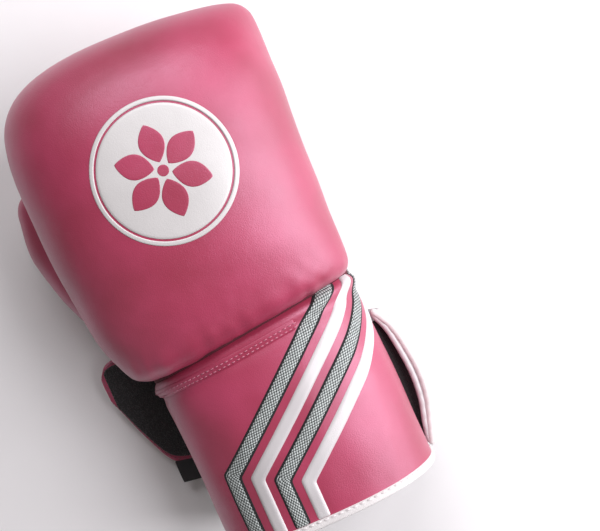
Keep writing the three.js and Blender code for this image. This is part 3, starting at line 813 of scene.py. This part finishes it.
def open_wrist(obj):
    """Cuts the hand's way in through the fist's rear wall."""
    bm = bmesh.new()
    bm.from_mesh(obj.data)
    gone = []
    for face in bm.faces:
        p = (np.array(face.calc_center_median()) - ORIGIN) * 1000
        y = p[1] - SHEAR * p[0]
        across, tall = (p[0] - 9) / 51, (p[2] - 61) / 25
        if y < WRIST + 12 and abs(across) ** 2.4 + abs(tall) ** 2.4 < 1:
            gone.append(face)
    bmesh.ops.delete(bm, geom=gone, context="FACES")
    bm.to_mesh(obj.data)
    bm.free()


FIST_BODY = make_fist()
FIST_HIT = surface_of(FIST_BODY)


def patch_from(direction, outline, lift, thick, name, material):
    """A thin patch on the fist. outline is a grid of points, round it and from its middle to its edge."""
    top, normal = drop(FIST_HIT, outline, direction)
    edge = np.ones(outline.shape[:2])
    edge[:, -1] = 0.1
    edge[:, -2] = 0.85
    upper = top + normal * (lift + thick * edge)[..., None]
    lower = top - normal * 0.5
    nu, nv = outline.shape[:2]
    points = np.vstack([upper.reshape(-1, 3), lower.reshape(-1, 3)])
    faces = grid_faces(nu, nv, wrap_u=True)
    faces += [tuple(reversed(f)) for f in grid_faces(nu, nv, wrap_u=True, start=nu * nv)]
    first = len(faces)
    for i in range(nu):
        j = (i + 1) % nu
        a, b = i * nv + nv - 1, j * nv + nv - 1
        faces.append((b, a, a + nu * nv, b + nu * nv))
        a, b = i * nv, j * nv
        faces.append((a, b, b + nu * nv, a + nu * nv))
    obj = mesh_object(name, points, faces, material)
    flat_walls(obj, range(first, len(faces)))
    tidy_normals(obj)
    return obj


def ring_outline(x, y, inner, outer, rows, around=120):
    a = np.linspace(0, 2 * np.pi, around, endpoint=False)
    share = np.append(np.linspace(0, 1, rows - 1) ** 0.8 * (1 - 0.25 / (outer - inner)), 1)
    radius = inner + (outer - inner) * share[None, :]
    across, along = x + radius * np.cos(a)[:, None], y + radius * np.sin(a)[:, None]
    return np.stack([across, along, np.full(across.shape, 90.0)], -1)


BADGE_PARTS = [  # name, inner and outer radius, rows, lift, thickness, material, slot, CAD nodes
    ("badge_disc", 0.05, 34.6, 26, 0.05, 0.3, BADGE, "white_leather", ["emblem_disc"]),
    ("badge_ring", 35.7, 38.1, 6, 0.05, 0.3, BADGE, "white_leather", ["emblem_ring"]),
    ("badge_gap", 34.4, 35.9, 4, -0.12, 0.1, PINK_LINE, "pink_leather", []),
]
for name, inner, outer, rows, lift, thick, finish, slot_name, nodes in BADGE_PARTS:
    outline = ring_outline(BADGE_X, BADGE_Y, inner, outer, rows)
    settle(patch_from(DOWN, outline, lift, thick, name, finish), "glove", nodes)


def petal(u):
    """A leaf shape: the place along it and half its width, u from 0 to 1."""
    return 4.5 + 20.5 * u, 6.6 * np.sin(np.pi * u) ** 0.8


def hub(u):
    return 6 * u - 3, 3 * np.sqrt(np.maximum(0, 1 - (2 * u - 1) ** 2))


def make_rosette():
    """Six leaf-shaped petals round a hub, as one printed mark."""
    points, faces, walls = [], [], []
    across = np.array([-1, -0.95, -0.7, -0.35, 0, 0.35, 0.7, 0.95, 1])
    rise = np.where(np.abs(across) == 1, 0.38, 0.42)[:, None, None]
    u = np.linspace(0, 1, 26)
    wide, long = len(across), len(u)
    border = [(0, i) for i in range(long)] + [(j, long - 1) for j in range(1, wide)]
    border += [(wide - 1, i) for i in range(long - 2, -1, -1)] + [(j, 0) for j in range(wide - 2, 0, -1)]
    border = [j * long + i for j, i in border]
    for k, shape in enumerate([petal] * 6 + [hub]):
        turn = math.pi / 3 * k + math.pi / 6
        along, width = shape(u)
        c, s = math.cos(turn), math.sin(turn)
        side = width * across[:, None]
        plan = [along * c - side * s + BADGE_X, along * s + side * c + BADGE_Y, np.full_like(side, 95.0)]
        base, normal = drop(FIST_HIT, np.stack(plan, -1), DOWN)
        start, under = len(points), len(points) + wide * long
        points += (base + normal * rise).reshape(-1, 3).tolist()
        points += (base - normal * 0.3).reshape(-1, 3).tolist()
        faces += grid_faces(wide, long, start=start)
        faces += [tuple(reversed(f)) for f in grid_faces(wide, long, start=under)]
        for a, b in zip(border, border[1:] + border[:1]):
            walls.append(len(faces))
            faces.append((start + b, start + a, under + a, under + b))
    obj = mesh_object("badge_rosette", points, faces, PINK)
    flat_walls(obj, walls)
    tidy_normals(obj)
    return obj


settle(make_rosette(), "glove", ["emblem_rosette"])


# ---- the palm ---------------------------------------------------------------------------------------------
def palm_path(u):
    """The mesh panel's outline seen from below, u from 0 to 1 round it."""
    corners = [(-34, -24), (-38, -8), (-34, 8), (-24, 13), (6, 15), (38, 17), (62, 20), (74, 20), (76, 6),
               (73, -16), (64, -20), (20, -23)]
    closed = np.array(corners + corners[:1], float)
    pts = resample(closed, count=240)[0][:-1]
    for _ in range(9):
        pts = (np.roll(pts, 1, 0) + 2 * pts + np.roll(pts, -1, 0)) / 4
    at = (np.asarray(u) * len(pts)).astype(int) % len(pts)
    return pts[at]


def make_palm():
    u = np.linspace(0, 1, 240, endpoint=False)
    rim = palm_path(u)
    middle = np.array([18.0, 0.0])
    share = np.linspace(0.01, 1, 30)
    plan = middle + (rim - middle)[:, None, :] * share[None, :, None]
    outline = np.concatenate([plan, np.full(plan.shape[:2] + (1,), 20.0)], -1)
    panel = patch_from(UP, outline, 0.15, 0.6, "palm_mesh", PALM_MESH)
    settle(panel, "glove", ["palm_mesh_panel"])
    path, normal = drop(FIST_HIT, np.column_stack([rim, np.full(len(rim), 20.0)]), UP, lift=0.5)
    keep = slice(0, 112)
    cord = tube("palm_piping", path[keep], 1.5, TAPE, normal[keep])
    settle(cord, "glove")
    cord = tube("palm_seam", path[keep] + np.array([-3.0, 0, 0]), 1.2, PINK_LINE, normal[keep])
    settle(cord, "glove")


def make_heel():
    x, y = 14.0, WRIST + 2
    a = np.linspace(0, np.pi, 60)
    share = np.linspace(0.02, 1, 16)
    grid = np.stack([x + 26 * np.cos(a)[:, None] * share, y + 26 * np.sin(a)[:, None] * share,
                     np.full((60, 16), 20.0)], -1)
    top, normal = drop(FIST_HIT, grid, UP)
    dome = 1.4 * np.sqrt(np.maximum(0, 1 - share**4))[None, :, None]
    obj = pad("heel_patch", top + normal * (0.5 + dome), top - normal * 0.4, PINK, subdivide=1, rim=1)
    settle(obj, "glove", ["palm_heel_patch"])
    edge = np.stack([x + 27.6 * np.cos(a), y + 27.6 * np.sin(a), np.full(60, 20.0)], -1)
    path, up = drop(FIST_HIT, edge, UP, lift=0.9)
    settle(tube("heel_piping", path, 1.5, TAPE, up), "glove", ["heel_patch_piping"])
    inner = np.stack([x + 23.4 * np.cos(a), y + 23.4 * np.sin(a), np.full(60, 20.0)], -1)
    path, up = drop(surface_of(obj), inner, UP)
    settle(stitches("heel_stitching", [(path, up)], THREAD), "glove")


make_palm()
make_heel()
open_wrist(FIST_BODY)
settle(FIST_BODY, "glove",
       ["fist_shell", "knuckle_foam_outer", "knuckle_foam_inner", "finger_roll_foam", "finger_wall_foam",
        "palm_foam"])


# ---- the cuff ---------------------------------------------------------------------------------------------
def cuff_grid(surface, y0, y1_at, low_test, high_test, across, along, out=0.0):
    """A grid on the cuff between two angle limits, and from y0 to a front edge that follows y1_at(x)."""
    y = np.linspace(y0, -20, 40)
    low = low_test(y)
    high = high_test(y)
    a = angle_grid(surface, y, low, high, across)
    share = np.linspace(0, 1, along)
    grid = np.empty((across, along, 3))
    for i in range(across):
        end = y1_at
        for _ in range(3):
            x_end = surface(np.array([np.interp(end, y, a[i])]), np.array([end]))[0, 0]
            end = y1_at + SHEAR * x_end
        ys = y0 + (end - y0) * share
        grid[i] = surface(np.interp(ys, y, a[i]), ys, out)
    return grid


def height_limit(surface, height, side):
    """Angles along y where the surface is at a height, on one side of the cuff."""
    def find(y):
        a = np.linspace(-0.9, 0.9, 721)
        out = []
        for place in y:
            turn = a if side > 0 else math.pi - a
            z = surface(turn, np.full_like(turn, place))[:, 2]
            out.append(np.interp(height, z, turn))
        return np.array(out)
    return find


def width_limit(surface, x):
    """Angles along y where the cuff's underside is at x."""
    def find(y):
        a = np.linspace(1.02 * np.pi, 1.98 * np.pi, 721)
        return np.array([np.interp(x, surface(a, np.full_like(a, p))[:, 0], a) for p in y])
    return find


def full_turn(find):
    return lambda y: find(y) + 2 * np.pi


def make_cuff_back():
    y0, y1 = MOUTH + 3.5, WRIST + 6
    low, high = height_limit(cuff_surface, SPLIT + 0.8, 1), height_limit(cuff_surface, SPLIT + 0.8, -1)
    outer = cuff_grid(cuff_surface, y0, y1, low, high, 90, 60)
    low, high = height_limit(hand_surface, SPLIT + 0.8, 1), height_limit(hand_surface, SPLIT + 0.8, -1)
    inner = cuff_grid(hand_surface, y0, y1, low, high, 90, 60, 1.5)
    obj = pad("cuff_leather", outer, inner, PINK, bulge=1.5, rim=3)
    return settle(obj, "glove", ["cuff_back_panel", "cuff_back_foam"])


make_cuff_back()


def make_lining(name, body, node, low, high, back_by, flat, on):
    """Cloth inside the cuff between two angle limits, ending back_by behind the crease."""
    inside = cuff_grid(hand_surface, MOUTH + 1.5, WRIST - back_by, low, high, 48, 36, 0.0)
    outside = cuff_grid(hand_surface, MOUTH + 1.5, WRIST - back_by, low, high, 48, 36, 1.3)
    folds = 0.5 * ripple(inside, 24, 7)[..., None] * normals_of(inside)
    obj = pad(name, outside, inside + folds, LINING, subdivide=1, rim=1)
    return settle(obj, body, [node])


def make_binding(name, body, node, outer_limits, inner_limits):
    y0, y1 = MOUTH + 1.0, MOUTH + BINDING
    outer = cuff_grid_level(cuff_surface, y0, y1, *outer_limits, 64, 7, 0.9)
    inner = cuff_grid_level(hand_surface, y0, y1, *inner_limits, 64, 7, -0.9)
    shrink = np.linspace(1, 0, 7) ** 2
    middle = (outer + inner) / 2
    outer = outer + (middle - outer) * 0.06 * shrink[None, :, None]
    obj = pad(name, outer, inner, TAPE, bulge=1.4, rim=4)
    settle(obj, body, [node])
    row = outer[:, 5]
    normal = normals_of(outer)[:, 5]
    half = len(row) // 2
    if np.dot(normal[half], row[half] - np.array([CUFF_CENTRE, row[half, 1], CUFF_MIDDLE])) < 0:
        normal = -normal
    settle(stitches(name + "_stitching", [(row + normal * 0.1, normal)], PALE_THREAD), body)


def cuff_grid_level(surface, y0, y1, low_test, high_test, across, along, out):
    y = np.linspace(y0, y1, along)
    a = angle_grid(surface, y, low_test(y), high_test(y), across)
    return surface(a, np.broadcast_to(y, a.shape), out)


SIDES = cuff_surface, hand_surface
back, back_in = [
    (height_limit(surface, SPLIT + HALF_GAP, 1), height_limit(surface, SPLIT + HALF_GAP, -1))
    for surface in SIDES]
thumb_out, thumb_in = [
    (height_limit(surface, SPLIT - HALF_GAP, -1), width_limit(surface, SLIT - SLIT_HALF))
    for surface in SIDES]
little_out, little_in = [
    (width_limit(surface, SLIT + SLIT_HALF), full_turn(height_limit(surface, SPLIT - HALF_GAP, 1)))
    for surface in SIDES]
# How far behind the crease the linings stop: the back's, and the wings', which turn with the strap.
BACK_LINING_BACK, WING_LINING_BACK = 2.0, 5.5


def make_wing(side, body, outer_limits, inner_limits):
    y0, y1 = MOUTH + 3.5, WRIST - 4
    outer = cuff_grid(cuff_surface, y0, y1, *outer_limits, 44, 44)
    inner = cuff_grid(hand_surface, y0, y1, *inner_limits, 44, 44, 1.5)
    obj = pad(side + "_wing_pad", outer, inner, WHITE, bulge=1.6, rim=4)
    settle(obj, body, [side + "_wing_panel", side + "_wing_foam"])
    name, node = side + "_wing_lining_cloth", side + "_wing_lining"
    make_lining(name, body, node, *inner_limits, WING_LINING_BACK, (0.042, 0.106), obj.name)
    make_binding(side + "_wing_tape", body, side + "_wing_binding", outer_limits, inner_limits)


make_lining("cuff_lining_cloth", "glove", "cuff_back_lining", *back_in, BACK_LINING_BACK, (0.170, 0.112),
            "cuff_leather")
make_binding("cuff_tape", "glove", "cuff_back_binding", back, back_in)
make_wing("thumb", "thumb_wing", thumb_out, thumb_in)
make_wing("little", "little_wing", little_out, little_in)


def make_hand_lining():
    a = np.linspace(0, 2 * np.pi, 72, endpoint=False)
    rows = [hand_surface(a, np.full_like(a, y)) for y in np.linspace(WRIST - 6, 84, 44)]
    for u in np.linspace(0, 1, 14)[1:]:
        t = min(0.996, math.sin(u * math.pi / 2))
        share = (1 - t**2.6) ** (1 / 2.6)
        ring = hand_surface(a, np.full_like(a, 84.0))
        middle = ring.mean(0)
        ring = middle + (ring - middle) * share
        ring[:, 1] = 84 + 22 * t
        rows.append(ring)
    inside = np.array(rows)
    inside = inside + 0.6 * (ripple(inside, 26, 4)[..., None] * normals_of(inside))
    centre = inside.mean(1, keepdims=True)
    outside = centre + (inside - centre) * 1.03
    outside[..., 1] = inside[..., 1] + np.linspace(0, 1, len(inside))[:, None] ** 8 * 1.4
    count = len(a)
    points = np.vstack([inside.reshape(-1, 3), outside.reshape(-1, 3)])
    faces, size = [], inside.shape[0] * count
    for i in range(inside.shape[0] - 1):
        for j in range(count):
            p, q = i * count + j, i * count + (j + 1) % count
            faces.append((p, q, q + count, p + count))
            faces.append((size + q, size + p, size + p + count, size + q + count))
    last = (inside.shape[0] - 1) * count
    for j in range(count):
        k = (j + 1) % count
        faces.append((k, j, size + j, size + k))
    faces.append(tuple(last + j for j in range(count)))
    faces.append(tuple(size + last + j for j in range(count - 1, -1, -1)))
    obj = mesh_object("hand_lining_cloth", points, faces, LINING)
    tidy_normals(obj)
    settle(obj, "glove", ["hand_lining"])


make_hand_lining()

# ---- the cuff's trim --------------------------------------------------------------------------------------
STRIPE = dict(x=-32.0, y=-96.0, step_x=12.7, step_y=-5.8, slope=0.8, grey=9.2, white=7.4)


def pattern_to_surface(px, y, out):
    """Points on the cuff from a flat pattern. px is x on its back, and distance round it past the curve."""
    a = np.linspace(math.pi * 1.02, -0.32, 400)
    ring = cuff_surface(a, np.full_like(a, -80.0))
    along = np.concatenate([[0], np.cumsum(np.linalg.norm(np.diff(ring, axis=0), axis=1))])
    turn = 58.0
    first = np.argmax((ring[:, 0] >= turn) & (a < 1.5))
    table = np.concatenate([ring[:first, 0], ring[first, 0] + along[first:] - along[first]])
    order = np.maximum.accumulate(table)
    angle = np.interp(px, order, a)
    point = cuff_surface(angle, y)
    ahead = cuff_surface(angle - 0.01, y)
    behind = cuff_surface(angle, y + 0.2)
    normal = np.cross(behind - point, ahead - point)
    normal /= np.linalg.norm(normal, axis=-1, keepdims=True)
    outward = (point - [CUFF_CENTRE, 0, CUFF_MIDDLE]) * [1, 0, 1]
    flip = np.sign(np.sum(normal * outward, -1, keepdims=True))
    return point + normal * flip * np.asarray(out)[..., None], normal * flip


def stripe_grid(index, offsets):
    """Plan points of a stripe, from the mouth round its corner to its end, and its flat pattern."""
    x = STRIPE["x"] + STRIPE["step_x"] * index
    y = STRIPE["y"] + STRIPE["step_y"] * index
    m = STRIPE["slope"]
    run = math.hypot(1, m)
    rows, places = [], []
    for off in offsets:
        lean = off * (run - m)
        corner = np.array([x + off, y - lean])
        start = np.array([x + off, MOUTH + BINDING + 0.4])
        long = 200.0
        far = corner + np.array([long, long * m])
        for _ in range(12):
            limit = WRIST + 4.5 + SHEAR * min(far[0], 76.0)
            if far[1] > limit:
                far = corner + (far - corner) * (limit - corner[1]) / (far[1] - corner[1])
        edge = 117.0
        if far[0] > edge:
            far = corner + (far - corner) * (edge - corner[0]) / (far[0] - corner[0])
        low = start + (corner - start) * np.linspace(0, 1, 14)[:, None]
        high = corner + (far - corner) * np.linspace(0, 1, 60)[1:, None]
        rows.append(np.vstack([low, high]))
        up = (high - [x, y]) @ np.array([1, m]) / run
        places.append(np.column_stack([np.full(73, off), np.concatenate([low[:, 1] - y, up])]))
    return np.array(rows), np.array(places)


def stripe_part(name, index, low, high, material, rise, nodes, columns=7):
    offsets = np.linspace(low, high, columns)
    plan, pattern = stripe_grid(index, offsets)
    lift = np.full(plan.shape[:2], rise)
    lift[0] = lift[-1] = 0.15
    top, normal = pattern_to_surface(plan[..., 0], plan[..., 1], lift)
    under = top - normal * (lift + 0.5)[..., None]
    obj = pad(name, top, under, material, subdivide=1, rim=1, pattern=pattern)
    settle(obj, "glove", nodes)


for index, node in ((0, "chevron_mesh_front"), (2, "chevron_mesh_rear")):
    half = STRIPE["grey"] / 2
    stripe_part(node + "_edge", index, -half, half, MESH_EDGE, 0.55, [])
    stripe_part(node + "_cloth", index, 0.8 - half, half - 0.8, GREY_MESH, 0.95, [node])
for index, node in ((1, "chevron_white_front"), (3, "chevron_white_rear")):
    half = STRIPE["white"] / 2
    stripe_part(node + "_leather", index, -half, half, WHITE, 0.8, [node])


def cuff_line(back_by, x_values, out):
    """A path on the cuff that follows the crease, back_by behind it, over a run of pattern x."""
    y = WRIST - back_by + SHEAR * np.minimum(x_values, 76)
    return pattern_to_surface(x_values, y, np.full(len(x_values), out))


def make_welt():
    x = np.linspace(-75, 36, 160)
    rows = []
    fan = 1.8 * (1 - smooth((x + 60) / 70))
    for back_by, out in ((6.4, 0.0), (7.2, 0.75), (8.6, 1.05), (10.2, 1.05), (11.6, 0.75), (12.4, 0.0)):
        rows.append(cuff_line(back_by - fan, x, out)[0])
    grid = np.array(rows)
    normal = cuff_line(9.4 - fan, x, 0.0)[1]
    obj = pad("wrist_welt_leather", grid, grid - 1.2 * normal[None], PINK, subdivide=1, rim=1)
    settle(obj, "glove", ["wrist_welt"])
    lines = [cuff_line(back_by - fan, x, 1.0) for back_by in (8.2, 10.6)]
    settle(stitches("welt_stitching", lines, THREAD, 2.1, 0.9, 0.3), "glove")


make_welt()


def make_crease_shade_cord():
    """A near-black cord at the bottom of the crease, where the fist is sewn to the cuff: painted shade, laid
    where the crease's shadow falls.
    """
    path, normal = cuff_line(0.2, np.linspace(-68, 100, 210), 0.5)
    settle(tube("crease_shade_cord", path, 1.5, CREASE_SHADE_THREAD, normal), "glove")


make_crease_shade_cord()


# ---- the strap --------------------------------------------------------------------------------------------
def strap_surface(line, count, across, half, bowed=False):
    """Upper and lower grids of a strap that runs along a line of (x, z, mouth's y, fist's y)."""
    line = spline(line, count)
    share = np.linspace(0, 1, across)
    x, z = line[:, 0], line[:, 1]
    tangent = np.stack([np.gradient(x), np.gradient(z)], 1)
    tangent /= np.linalg.norm(tangent, axis=1, keepdims=True)
    y = line[:, 2, None] + (line[:, 3] - line[:, 2])[:, None] * share
    swell = smooth((z - 5) / 30)[:, None] * (root_x(y) - 79.0) if bowed else np.zeros_like(y)
    middle = np.stack([x[:, None] + swell, y, np.broadcast_to(z[:, None], y.shape)], -1)
    normal = np.stack([tangent[:, 1], np.zeros(len(x)), -tangent[:, 0]], 1)[:, None, :]
    edge = (1 - 0.35 * (np.abs(2 * share - 1) ** 10))[None, :, None]
    return middle + normal * half * edge, middle - normal * half * edge


STRAP_LINE = [(79.0, 37, -134, -49), (83.2, 27, -134.5, -49), (81.5, 15.5, -134.5, -49),
              (73, 6.5, -133, -47.5), (60, 2.3, -131, -45.5), (42, 1.95, -127, -42), (20, 1.9, -120, -36),
              (-2, 1.9, -112.5, -29.5), (-21.6, 2.0, -105.5, -24)]
TIP_LINE = [(-22.4, 2.0, -105, -24), (-42, 3.2, -99, -19), (-60, 6.5, -92.5, -14.5), (-74, 9.6, -86, -12),
            (-84, 11.6, -66, -11.5), (-91, 12.8, -46, -14), (-95, 13.5, -35, -19.5)]
# The strap's root, which is rolled over twice and bows away from the cuff.
ROOT = [(78.6, -49), (84.4, -60), (88.0, -78), (89.0, -94), (87.2, -109), (82.8, -123), (79.4, -134)]


def root_x(y):
    line = spline(ROOT, 120)
    return np.interp(-np.asarray(y), -line[:, 1], line[:, 0])


def bend_at_root(obj):
    """Bakes a piece of the strap's transform into its points."""
    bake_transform(obj)


def make_strap():
    one, two = strap_surface(STRAP_LINE, 90, 40, 1.75, True)
    obj = pad("strap_leather", one, two, WHITE, bulge=0.7, rim=2)
    settle(obj, None, ["strap"])
    bend_at_root(obj)
    y = np.linspace(-48.4, -134.6, 70)
    x = root_x(y)
    rolls = ("outer", 0.6, 38.2, 2.5, TAPE), ("inner", -3.6, 37.6, 2.1, WHITE)
    for name, shift, height, radius, finish in rolls:
        ease = np.sin(np.pi * np.clip((y + 134) / 85, 0, 1)) ** 0.35
        path = np.column_stack([x + shift * ease, y, height + 0.25 * np.sin(y * 0.9)])
        roll = tube("strap_root_roll_" + name, path, radius * (0.88 + 0.12 * ease), finish)
        settle(roll, "glove")
    rows = []
    outside = one if one[45, 20, 2] < two[45, 20, 2] else two
    inside = two if outside is one else one
    direction = outside - inside
    direction /= np.linalg.norm(direction, axis=-1, keepdims=True)
    for column in (3, 36):
        rows.append((outside[4:, column], direction[4:, column]))
    rows.append((outside[5, 3:37], direction[5, 3:37]))
    bend_at_root(settle(stitches("strap_stitching", rows, PALE_THREAD), None))


def make_tip():
    one, two = strap_surface(TIP_LINE, 46, 40, 1.7)
    obj = pad("strap_tip_leather", one, two, PINK, bulge=0.8, rim=2)
    settle(obj, "strap_tip", ["strap_tip"])
    upper = one if one[20, 20, 2] > two[20, 20, 2] else two
    lower = two if upper is one else one
    direction = upper - lower
    direction /= np.linalg.norm(direction, axis=-1, keepdims=True)
    base, rise = upper[1:43, 2:38], direction[1:43, 2:38]
    fuzz = 0.3 * ripple(base, 5, 9)[..., None]
    hooks = pad("hook_cloth", base + rise * (1.5 + fuzz), base - rise * 0.3, HOOKS, subdivide=1, rim=1)
    settle(hooks, "strap_tip", ["hook_patch"])
    rows = [(upper[2:44, 1], direction[2:44, 1]), (upper[2:44, 38], direction[2:44, 38])]
    rows.append((upper[44, 2:38], direction[44, 2:38]))
    settle(stitches("tip_stitching", rows, DEEP_THREAD, 2.4, 1.0, 0.32), "strap_tip")


def make_pull_tab():
    u = np.linspace(0, 1, 24)
    x = -74 + 13.5 * u
    z = 10.4 - 3.0 * u
    outer = np.stack([np.stack([x, np.full_like(x, -101.0) + 14 * v - 3 * u, z + 0.7 * math.sin(3.1 * v)], 1)
                      for v in np.linspace(0, 1, 14)], 1)
    obj = pad("pull_tab_webbing", outer + [0, 0, 0.9], outer - [0, 0, 0.9], WEBBING, bulge=0.5, rim=1)
    settle(obj, "strap_tip", ["pull_tab"])


def make_loop_patch():
    y = np.linspace(-100, -37, 40)
    low, high = width_limit(cuff_surface, -46)(y), width_limit(cuff_surface, -9)(y)
    a = angle_grid(cuff_surface, y, low, high, 26)
    yy = np.broadcast_to(y, a.shape)
    outer, inner = cuff_surface(a, yy, 1.3), cuff_surface(a, yy, -0.3)
    outer = outer + 0.2 * ripple(outer, 4, 3)[..., None] * np.array([0, 0, 1])
    obj = pad("loop_cloth", outer, inner, LOOPS, rim=1)
    settle(obj, "thumb_wing", ["loop_patch"])


def make_gusset():
    """Black elastic in the slit between the cuff's panel and the strap's root."""
    y = np.linspace(-131, -54, 60)
    share = np.linspace(0, 1, 12)
    bow = np.sin(np.pi * (y + 131) / 77) ** 0.8
    x = 74.5 + share[:, None] * (root_x(y) - 2.4 - 74.5)[None, :]
    z = 35.0 - 3.5 * np.sin(np.pi * share)[:, None] * bow[None, :] - 1.0 * share[:, None]
    top = np.stack([x, np.broadcast_to(y, x.shape), z], -1)
    top[..., 2] += 0.35 * np.sin(y * 2.6)[None, :]
    obj = pad("gusset_elastic", top, top - [0, 0, 1.6], ELASTIC, rim=1)
    settle(obj, "glove", ["strap_gusset"])


make_strap()
make_tip()
make_pull_tab()
make_loop_patch()
make_gusset()

# ---- the thumb --------------------------------------------------------------------------------------------
THUMB = [(-40, -26, 44, 19, 16), (-52, 2, 43, 21.5, 18), (-67, 34, 36, 22, 18.5), (-77.5, 66, 31, 21, 18.5),
         (-78, 88, 30, 18.5, 16.5)]


def make_thumb():
    line = spline(THUMB, 60)
    a = np.linspace(0, 2 * np.pi, 80, endpoint=False)
    tangent = np.gradient(line[:, :3], axis=0)
    tangent /= np.linalg.norm(tangent, axis=1, keepdims=True)

    def ring(centre, along, across, tall):
        side = np.cross(along, [0, 0, 1.0])
        side /= np.linalg.norm(side)
        up = np.cross(side, along)
        wide, high = power(np.cos(a), 0.92) * across, power(np.sin(a), 0.92) * tall
        return centre + np.outer(wide, side) + np.outer(high, up)

    rings = [ring(p[:3], t, p[3], p[4]) for p, t in zip(line, tangent)]
    for u in np.linspace(0, 1, 16)[1:]:
        t = math.sin(u * math.pi / 2) * 0.998
        share = (1 - t**2.3) ** (1 / 2.3)
        end = line[-1, :3] + tangent[-1] * 17 * t
        rings.append(ring(end, tangent[-1], line[-1, 3] * share, line[-1, 4] * share))
    rings = np.array(rings)
    obj = loft("thumb_leather", rings, PINK)
    modifier(obj, "REMESH", mode="VOXEL", voxel_size=0.0026)
    relax(obj, 8)
    inflate(obj, 3.0, 1.6, 12, lambda p: np.round(smooth((4 - p[:, 1]) / 14) * 4) / 4)
    modifier(obj, "SUBSURF", levels=1, render_levels=1)
    seam = rings[4:-3]
    top, under = seam[:, 14], seam[:, 66]
    p, n = points_of(obj), normals_at(obj)
    for path in (top, under):
        nearest = np.min(np.linalg.norm(p[:, None, :] - path[None, ::2], axis=2), axis=1)
        p = p - n * (1.1 * np.exp(-((nearest / 2.4) ** 2)))[:, None]
    p = p + n * (0.35 * ripple(p, 34, 6))[:, None]
    outside = []
    for q in p:
        hit, normal, _, distance = FIST_HIT.find_nearest(Vector(q))
        inward = np.dot(q - np.array(hit), np.array(normal)) < 0
        outside.append(np.array(hit) - np.array(normal) * 0.8 if inward and distance > 0.8 else q)
    set_points(obj, np.array(outside))
    surface = surface_of(obj)
    rows = []
    for column in (12, 16, 64, 68):
        path = seam[4:, column]
        way = seam[4:].mean(1) - path
        way /= np.linalg.norm(way, axis=1, keepdims=True)
        spot, normal = drop(surface, path, way, reach=12)
        good = np.array([FIST_HIT.find_nearest(Vector(s))[3] > 4.0 for s in spot])
        rows.append((spot[good], normal[good]))
    settle(stitches("thumb_stitching", rows, THREAD, 2.6, 1.3, 0.36), "thumb")
    settle(obj, "thumb", ["thumb_shell_outer", "thumb_shell_inner", "thumb_foam"])


make_thumb()


def make_tether():
    """The strip that holds the thumb's tip to the fist's front corner."""
    line = [(-77, 84, 45.5), (-75.5, 92, 47.8), (-73, 99, 49.6), (-69.5, 106, 51), (-64.5, 113, 53.5)]
    path = spline(line, 34)
    t = np.gradient(path, axis=0)
    t /= np.linalg.norm(t, axis=1, keepdims=True)
    side = np.cross(t, [0, 0, 1.0])
    side /= np.linalg.norm(side, axis=1, keepdims=True)
    up = np.cross(side, t)
    share = np.linspace(-1, 1, 12)
    top = path[None] + side[None] * share[:, None, None] * 6.6
    top = top - up[None] * (share**2)[:, None, None] * 1.0
    obj = pad("tether_leather", top + up[None] * 0.9, top - up[None] * 0.9, PINK, bulge=0.5, rim=1)
    settle(obj, None, ["thumb_tether"])
    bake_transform(obj)


make_tether()

# ---- hidden pieces that keep their CAD shape --------------------------------------------------------------
for node, finish in (("knuckle_gel_pad", GEL), ("grip_bar", FOAM), ("thumb_lining", LINING),
                     ("wrist_splint_thumb_side", PLASTIC), ("wrist_splint_little_side", PLASTIC)):
    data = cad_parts[node].data
    data.materials.clear()
    data.materials.append(finish)

# ---- studio -----------------------------------------------------------------------------------------------


def area_light(name, place, aim, size, watts, colour):
    lamp = bpy.data.lights.new(name, "AREA")
    lamp.shape, lamp.size, lamp.size_y = "RECTANGLE", *size
    lamp.energy, lamp.color = watts, colour
    obj = bpy.data.objects.new(name, lamp)
    obj.location = Vector(place)
    obj.rotation_mode = "QUATERNION"
    obj.rotation_quaternion = (Vector(aim) - Vector(place)).to_track_quat("-Z", "Y")
    bpy.context.scene.collection.objects.link(obj)


def make_studio():
    bpy.ops.mesh.primitive_grid_add(x_subdivisions=8, y_subdivisions=8, size=6, location=(0, 0, -0.0003))
    floor = bpy.context.object
    floor.name = "floor"
    floor.data.materials.append(FLOOR)
    world = bpy.data.worlds.new("studio")
    bpy.context.scene.world = world
    world.use_nodes = True
    world.node_tree.nodes["Background"].inputs["Color"].default_value = (1.0, 0.95, 0.94, 1)
    world.node_tree.nodes["Background"].inputs["Strength"].default_value = 0.10
    centre = (0, 0, 0.06)
    area_light("key", (0.80, -0.12, 0.62), centre, (0.9, 1.1), 17.0, (1.0, 0.96, 1.0))
    area_light("top", (0.15, 0.75, 0.8), centre, (0.9, 0.4), 6.5, (1.0, 0.97, 1.0))
    area_light("fill", (-0.8, -0.5, 0.7), centre, (1.0, 1.0), 0.8, (1.0, 0.88, 0.84))
    camera = bpy.data.cameras.new("camera")
    camera.sensor_width, camera.lens = 36, 50.7
    camera.clip_start = 0.01
    eye = bpy.data.objects.new("camera", camera)
    eye.location = Vector((0.0495 + ORIGIN[0], -0.0048 + ORIGIN[1], 0.55))
    eye.rotation_euler = (0, 0, math.radians(-24))
    bpy.context.scene.collection.objects.link(eye)
    bpy.context.scene.camera = eye


make_studio()
bpy.context.scene.view_settings.view_transform = "Standard"
